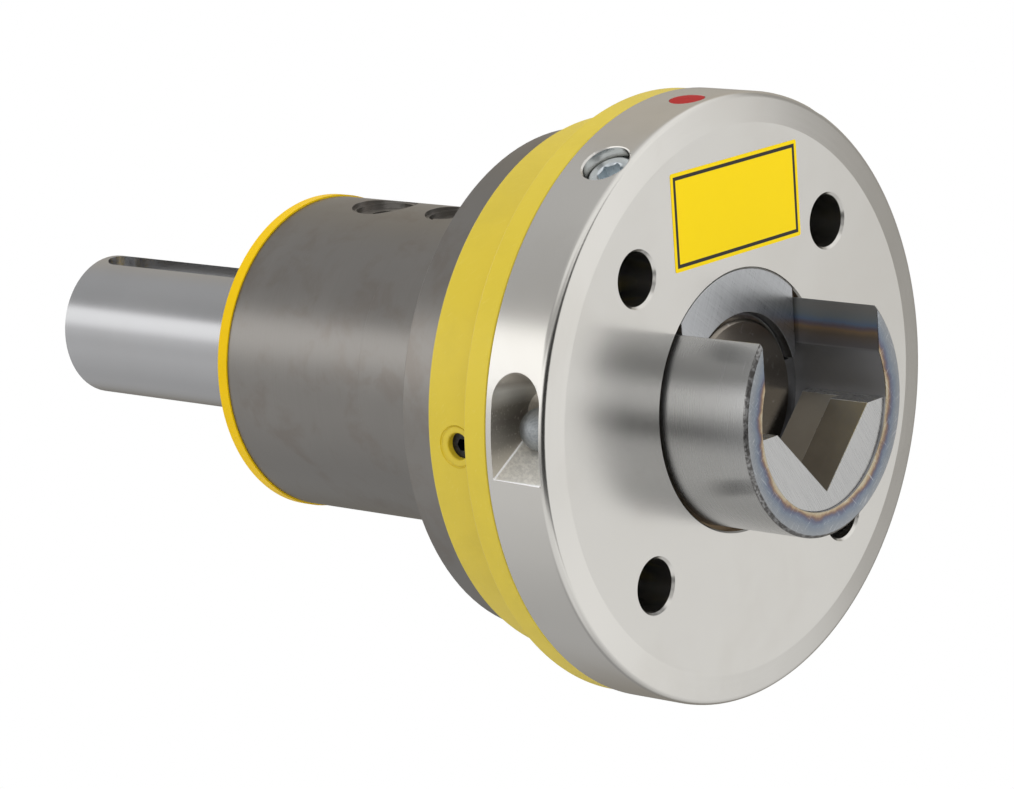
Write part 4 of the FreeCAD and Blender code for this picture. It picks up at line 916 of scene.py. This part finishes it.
def make_closing_segment():
    """Arched segment with rounded feet."""
    arch = turned("segment_arch", [
        (SEGMENT_BORE_R, WHEEL_FACE), (SEGMENT_R, WHEEL_FACE), (SEGMENT_R, SEGMENT_REAR),
        (SEGMENT_BORE_R, SEGMENT_REAR),
    ])
    room = block("segment_room", -SEGMENT_HALF, SEGMENT_HALF, WHEEL_FACE - 1, SEGMENT_REAR + 1,
                 SEGMENT_FOOT_Z, 60)

    def on_foot(point):
        return abs(point.z - SEGMENT_FOOT_Z) < 0.01

    bevel_where(room, SEGMENT_FOOT_ROUND, 10,
                lambda a, b: on_foot(a) and on_foot(b) and abs(a.y - b.y) > 1)
    combine(arch, [room], "INTERSECT")
    break_edges(arch, 0.3)
    return dress(arch, "handwheel", SEGMENT_STEEL, "ground_steel", "closing_segment")


def make_guard_ring():
    """Yellow ring with its wide lip, and the holes of its set screws."""
    ring = turned("guard_ring_body", [
        (GUARD_BORE_R, GUARD_FRONT), (GUARD_LIP_R, GUARD_FRONT, 0.7), (GUARD_LIP_R, GUARD_LIP_END, 0.7),
        (GUARD_R, GUARD_LIP_END, 0.5), (GUARD_R, GUARD_REAR, 0.6), (GUARD_BORE_R, GUARD_REAR),
    ])
    tools = []
    for angle in (90, 210, 330):
        out = outward(angle)
        spot = at_clock(angle, GUARD_R - 0.6, GUARD_SCREW_Y)
        tools.append(drill(GUARD_SPOT_R, 0.01, 0.3, spot, -out, above=3))
        tools.append(drill(GUARD_HOLE_R, 10, 0.5, spot, -out, above=0.4))
    combine(ring, tools)
    break_edges(ring, 0.2)
    return dress(ring, "housing", GUARD_ENAMEL, "guard_yellow", "guard_ring")


def make_segment_screws():
    """Two cap screws with hexagon sockets, sunk in the rim."""
    stem_r, length = 5.0, 50
    head = turned("cap_screw", [
        (0, -length), (stem_r, -length), (stem_r, 0, 0.5), (HEAD_R, 0, 0.3), (HEAD_R, HEAD_HEIGHT, 1.1),
        (0, HEAD_HEIGHT),
    ], closed=False, steps=96)
    deselect()
    corner = HEX_KEY / sqrt(3)
    bpy.ops.mesh.primitive_cylinder_add(vertices=6, radius=corner * MM, depth=10 * MM,
                                        location=(0, (HEAD_HEIGHT + 0.2) * MM, 0), rotation=(pi / 2, 0, 0))
    socket = bpy.context.active_object
    settle(socket)
    mouth = turned("socket_mouth", [(0, 0.6), (HEX_KEY / 2 + 0.1, 0.6), (corner + 0.5, -0.3), (0, -0.3)],
                   closed=False, steps=64)
    placed(mouth, (0, HEAD_HEIGHT, 0), (0, -1, 0))
    combine(head, [socket, mouth])
    break_edges(head, 0.15)
    other = head.copy()
    other.data = head.data.copy()
    bpy.context.scene.collection.objects.link(other)
    for piece, angle in ((head, SCREW_ANGLE), (other, -SCREW_ANGLE)):
        placed(piece, at_clock(angle, SCREW_SEAT_R, SCREW_Y), outward(angle))
    pick(head)
    other.select_set(True)
    bpy.ops.object.join()
    head.name = "segment_cap_screws"
    return dress(head, "handwheel", ZINC, "zinc_steel", "segment_screws")


def make_button_spring():
    """Coil behind the release button."""
    deselect()
    bpy.ops.mesh.primitive_circle_add(vertices=12, radius=SPRING_WIRE_R * MM, rotation=(pi / 2, 0, 0))
    coil = bpy.context.active_object
    coil.name = "button_coil_spring"
    settle(coil)
    edit_all(coil)
    bpy.ops.transform.translate(value=(0, 0, -SPRING_COIL_R * MM))
    bpy.ops.object.mode_set(mode="OBJECT")
    apply_modifier(coil, "SCREW", axis="X", angle=2 * pi, iterations=SPRING_TURNS, steps=40,
                   render_steps=40, screw_offset=SPRING_LENGTH / SPRING_TURNS * MM)
    edit_all(coil)
    bpy.ops.mesh.remove_doubles(threshold=WELD)
    bpy.ops.mesh.fill_holes(sides=0)
    close_up()
    coil.location = (SPRING_START * MM, POCKET_Y * MM, BUTTON_Z * MM)
    settle(coil)
    break_edges(coil, 0)
    dress(coil, "handwheel", SPRING_STEEL, "spring_steel", "button_spring")
    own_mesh(coil)
    return coil


def make_marker():
    """Red spot that follows the rim."""
    middle = at_clock(MARKER_CLOCK, WHEEL_R, MARKER_Y)
    spot = drill(MARKER_R - 0.05, 3, 0, middle, -outward(MARKER_CLOCK), steps=64)
    inner_r, outer_r, half = WHEEL_R - 0.6, WHEEL_R - 0.05, 9
    skin = turned("red_spot_skin", [
        (inner_r, MARKER_Y - half), (outer_r, MARKER_Y - half), (outer_r, MARKER_Y + half),
        (inner_r, MARKER_Y + half),
    ])
    combine(spot, [skin], "INTERSECT")
    spot.name = "red_spot"
    break_edges(spot, 0.08)
    return dress(spot, "handwheel", RED_PAINT, "marker_red", "red_marker")


def make_label():
    """Plain film on the handwheel's face."""
    film = block("yellow_film_label", LABEL_X - LABEL_HALF_X, LABEL_X + LABEL_HALF_X, WHEEL_FACE - FILM,
                 WHEEL_FACE, LABEL_Z - LABEL_HALF_Z, LABEL_Z + LABEL_HALF_Z)
    bevel_where(film, 0.8, 4, lambda a, b: abs(a.y - b.y) > 0.05)
    break_edges(film, 0.03, 1)
    return dress(film, "handwheel", LABEL_FILM, "guard_yellow")


make_handwheel()
make_jaw_sleeve()
make_v_block()
make_closing_segment()
make_guard_ring()
make_segment_screws()
make_button_spring()
make_marker()
make_label()


# Stage, light and camera


def make_floor():
    """Pale floor, plain white to the camera and left out of reflections."""
    deselect()
    bpy.ops.mesh.primitive_plane_add(size=12, location=(0, 0, FLOOR_Z))
    floor = bpy.context.active_object
    floor.name = "pale_floor"
    settle(floor)
    material, tree, shader, _ = start_material("pale_floor", (0.92, 0.92, 0.92), 0.9, metallic=0.0)
    output = next(item for item in tree.nodes if item.type == "OUTPUT_MATERIAL")
    glow = node(tree, "ShaderNodeEmission", Color=WHITE, Strength=1.0)
    seen = node(tree, "ShaderNodeLightPath").outputs["Is Camera Ray"]
    join(tree, shader_mix(tree, seen, shader.outputs[0], glow.outputs[0]), output.inputs[0])
    floor.data.materials.append(material)
    floor.visible_glossy = False


def graded(*stops, tint=(1.0, 1.0, 1.0)):
    """Ramp stops from (height of the direction, brightness) pairs."""
    return [((height + 1) / 2, tuple(value * channel for channel in tint)) for height, value in stops]


def make_world():
    """Studio: plain white to the camera, graded by height and side in reflections."""
    world = bpy.data.worlds.new("studio")
    bpy.context.scene.world = world
    world.use_nodes = True
    tree = world.node_tree
    tree.nodes.clear()
    where = node(tree, "ShaderNodeTexCoord")
    across, along, up = node(tree, "ShaderNodeSeparateXYZ", Vector=where.outputs["Generated"]).outputs
    height = maths(tree, "MULTIPLY_ADD", up, 0.5, 0.5)
    rear_left = ramp(tree, height, graded(
        (-1.0, 0.35), (-0.76, 0.56), (-0.64, 0.68), (-0.40, 0.78), (-0.20, 0.76), (0.02, 0.90),
        (0.16, 1.50), (0.40, 1.65), (0.46, 0.50), (0.68, 0.54), (0.80, 0.66), (1.0, 0.60)))
    rear_right = ramp(tree, height, graded(
        (-1.0, 0.22), (-0.60, 0.32), (-0.30, 0.24), (0.10, 0.50), (0.5, 0.60), (1.0, 0.62),
        tint=(1.0, 0.94, 0.84)))
    left = ramp(tree, height, graded(
        (-1.0, 0.95), (-0.42, 0.98), (-0.33, 0.70), (-0.25, 0.32), (-0.15, 0.50), (-0.02, 1.15),
        (0.10, 1.50), (0.30, 1.60), (0.38, 0.75), (0.46, 0.48), (0.58, 0.55), (0.70, 1.00),
        (0.80, 1.20), (1.0, 0.80)))
    right = ramp(tree, height, graded(
        (-1.0, 0.55), (-0.5, 0.82), (-0.20, 1.00), (0.30, 0.95), (0.62, 1.00), (0.75, 1.20), (1.0, 0.75)))
    lit = ramp(tree, height, graded(
        (-1.0, 0.60), (-0.5, 1.10), (-0.20, 1.30), (0.30, 1.25), (0.62, 1.10), (0.75, 1.20), (1.0, 0.75)))
    dark_gap = times(tree, spread(tree, across, -0.72, -0.54), spread(tree, across, 0.50, 0.34))
    dark_gap = times(tree, dark_gap, spread(tree, up, 0.42, 0.26))
    dark_gap = times(tree, dark_gap, spread(tree, up, -0.45, -0.30))
    front = mixed(tree, spread(tree, across, 0.80, 0.54), right, lit)
    front = mixed(tree, spread(tree, across, -0.05, -0.40), front, left)
    front = mixed(tree, dark_gap, front, (0.04, 0.04, 0.04))
    front = mixed(tree, spread(tree, across, 0.79, 0.87), front, (0.42, 0.41, 0.39))
    rear = mixed(tree, spread(tree, across, 0.05, 0.60), rear_left, rear_right)
    grade = mixed(tree, spread(tree, along, 0.2, -0.2), rear, front)
    ambient = node(tree, "ShaderNodeBackground", Color=WHITE, Strength=0.72)
    seen = node(tree, "ShaderNodeBackground", Color=WHITE, Strength=1.0)
    mirrored = node(tree, "ShaderNodeBackground", Color=grade, Strength=1.0)
    ray = node(tree, "ShaderNodeLightPath").outputs
    lighting = shader_mix(tree, ray["Is Glossy Ray"], ambient.outputs[0], mirrored.outputs[0])
    shown = shader_mix(tree, ray["Is Camera Ray"], lighting, seen.outputs[0])
    node(tree, "ShaderNodeOutputWorld", Surface=shown)


def soft_box(name, place, size, power):
    """Rectangular lamp aimed at the origin; place and size in metres, power in watts."""
    lamp = bpy.data.lights.new(name, "AREA")
    lamp.shape = "RECTANGLE"
    lamp.size, lamp.size_y = size
    lamp.energy = power
    holder = bpy.data.objects.new(name, lamp)
    bpy.context.scene.collection.objects.link(holder)
    holder.visible_glossy = False
    holder.location = place
    aim = -Vector(place)
    holder.rotation_euler = aim.to_track_quat("-Z", "Y").to_euler()


def make_camera():
    """Camera at the fitted viewpoint of the photograph."""
    azimuth, elevation, roll = radians(AZIMUTH), radians(ELEVATION), radians(ROLL)
    back = Vector((sin(azimuth) * cos(elevation), -cos(azimuth) * cos(elevation), sin(elevation)))
    level = Vector((cos(azimuth), sin(azimuth), 0))
    up_level = back.cross(level)
    right = level * cos(roll) + up_level * sin(roll)
    up = up_level * cos(roll) - level * sin(roll)
    place = Vector((0, AIM_Y, 0)) + back * DISTANCE + right * SHIFT_RIGHT + up * SHIFT_UP
    data = bpy.data.cameras.new("camera")
    data.sensor_fit = "HORIZONTAL"
    data.sensor_width = SENSOR_WIDTH
    data.lens = FOCAL_PIXELS / PICTURE_WIDTH * SENSOR_WIDTH
    holder = bpy.data.objects.new("camera", data)
    bpy.context.scene.collection.objects.link(holder)
    turn = Matrix((right, up, back)).transposed().to_4x4()
    holder.matrix_world = Matrix.Translation(place) @ turn
    bpy.context.scene.camera = holder


make_floor()
make_world()
soft_box("key", (-1.1, -0.9, 1.3), (1.2, 0.8), 8.0)
soft_box("top", (0.3, 0.4, 1.6), (1.4, 1.0), 5.5)
soft_box("fill", (1.3, -1.2, 0.5), (1.0, 1.2), 5.0)
make_camera()
bpy.context.scene.view_settings.view_transform = "Standard"
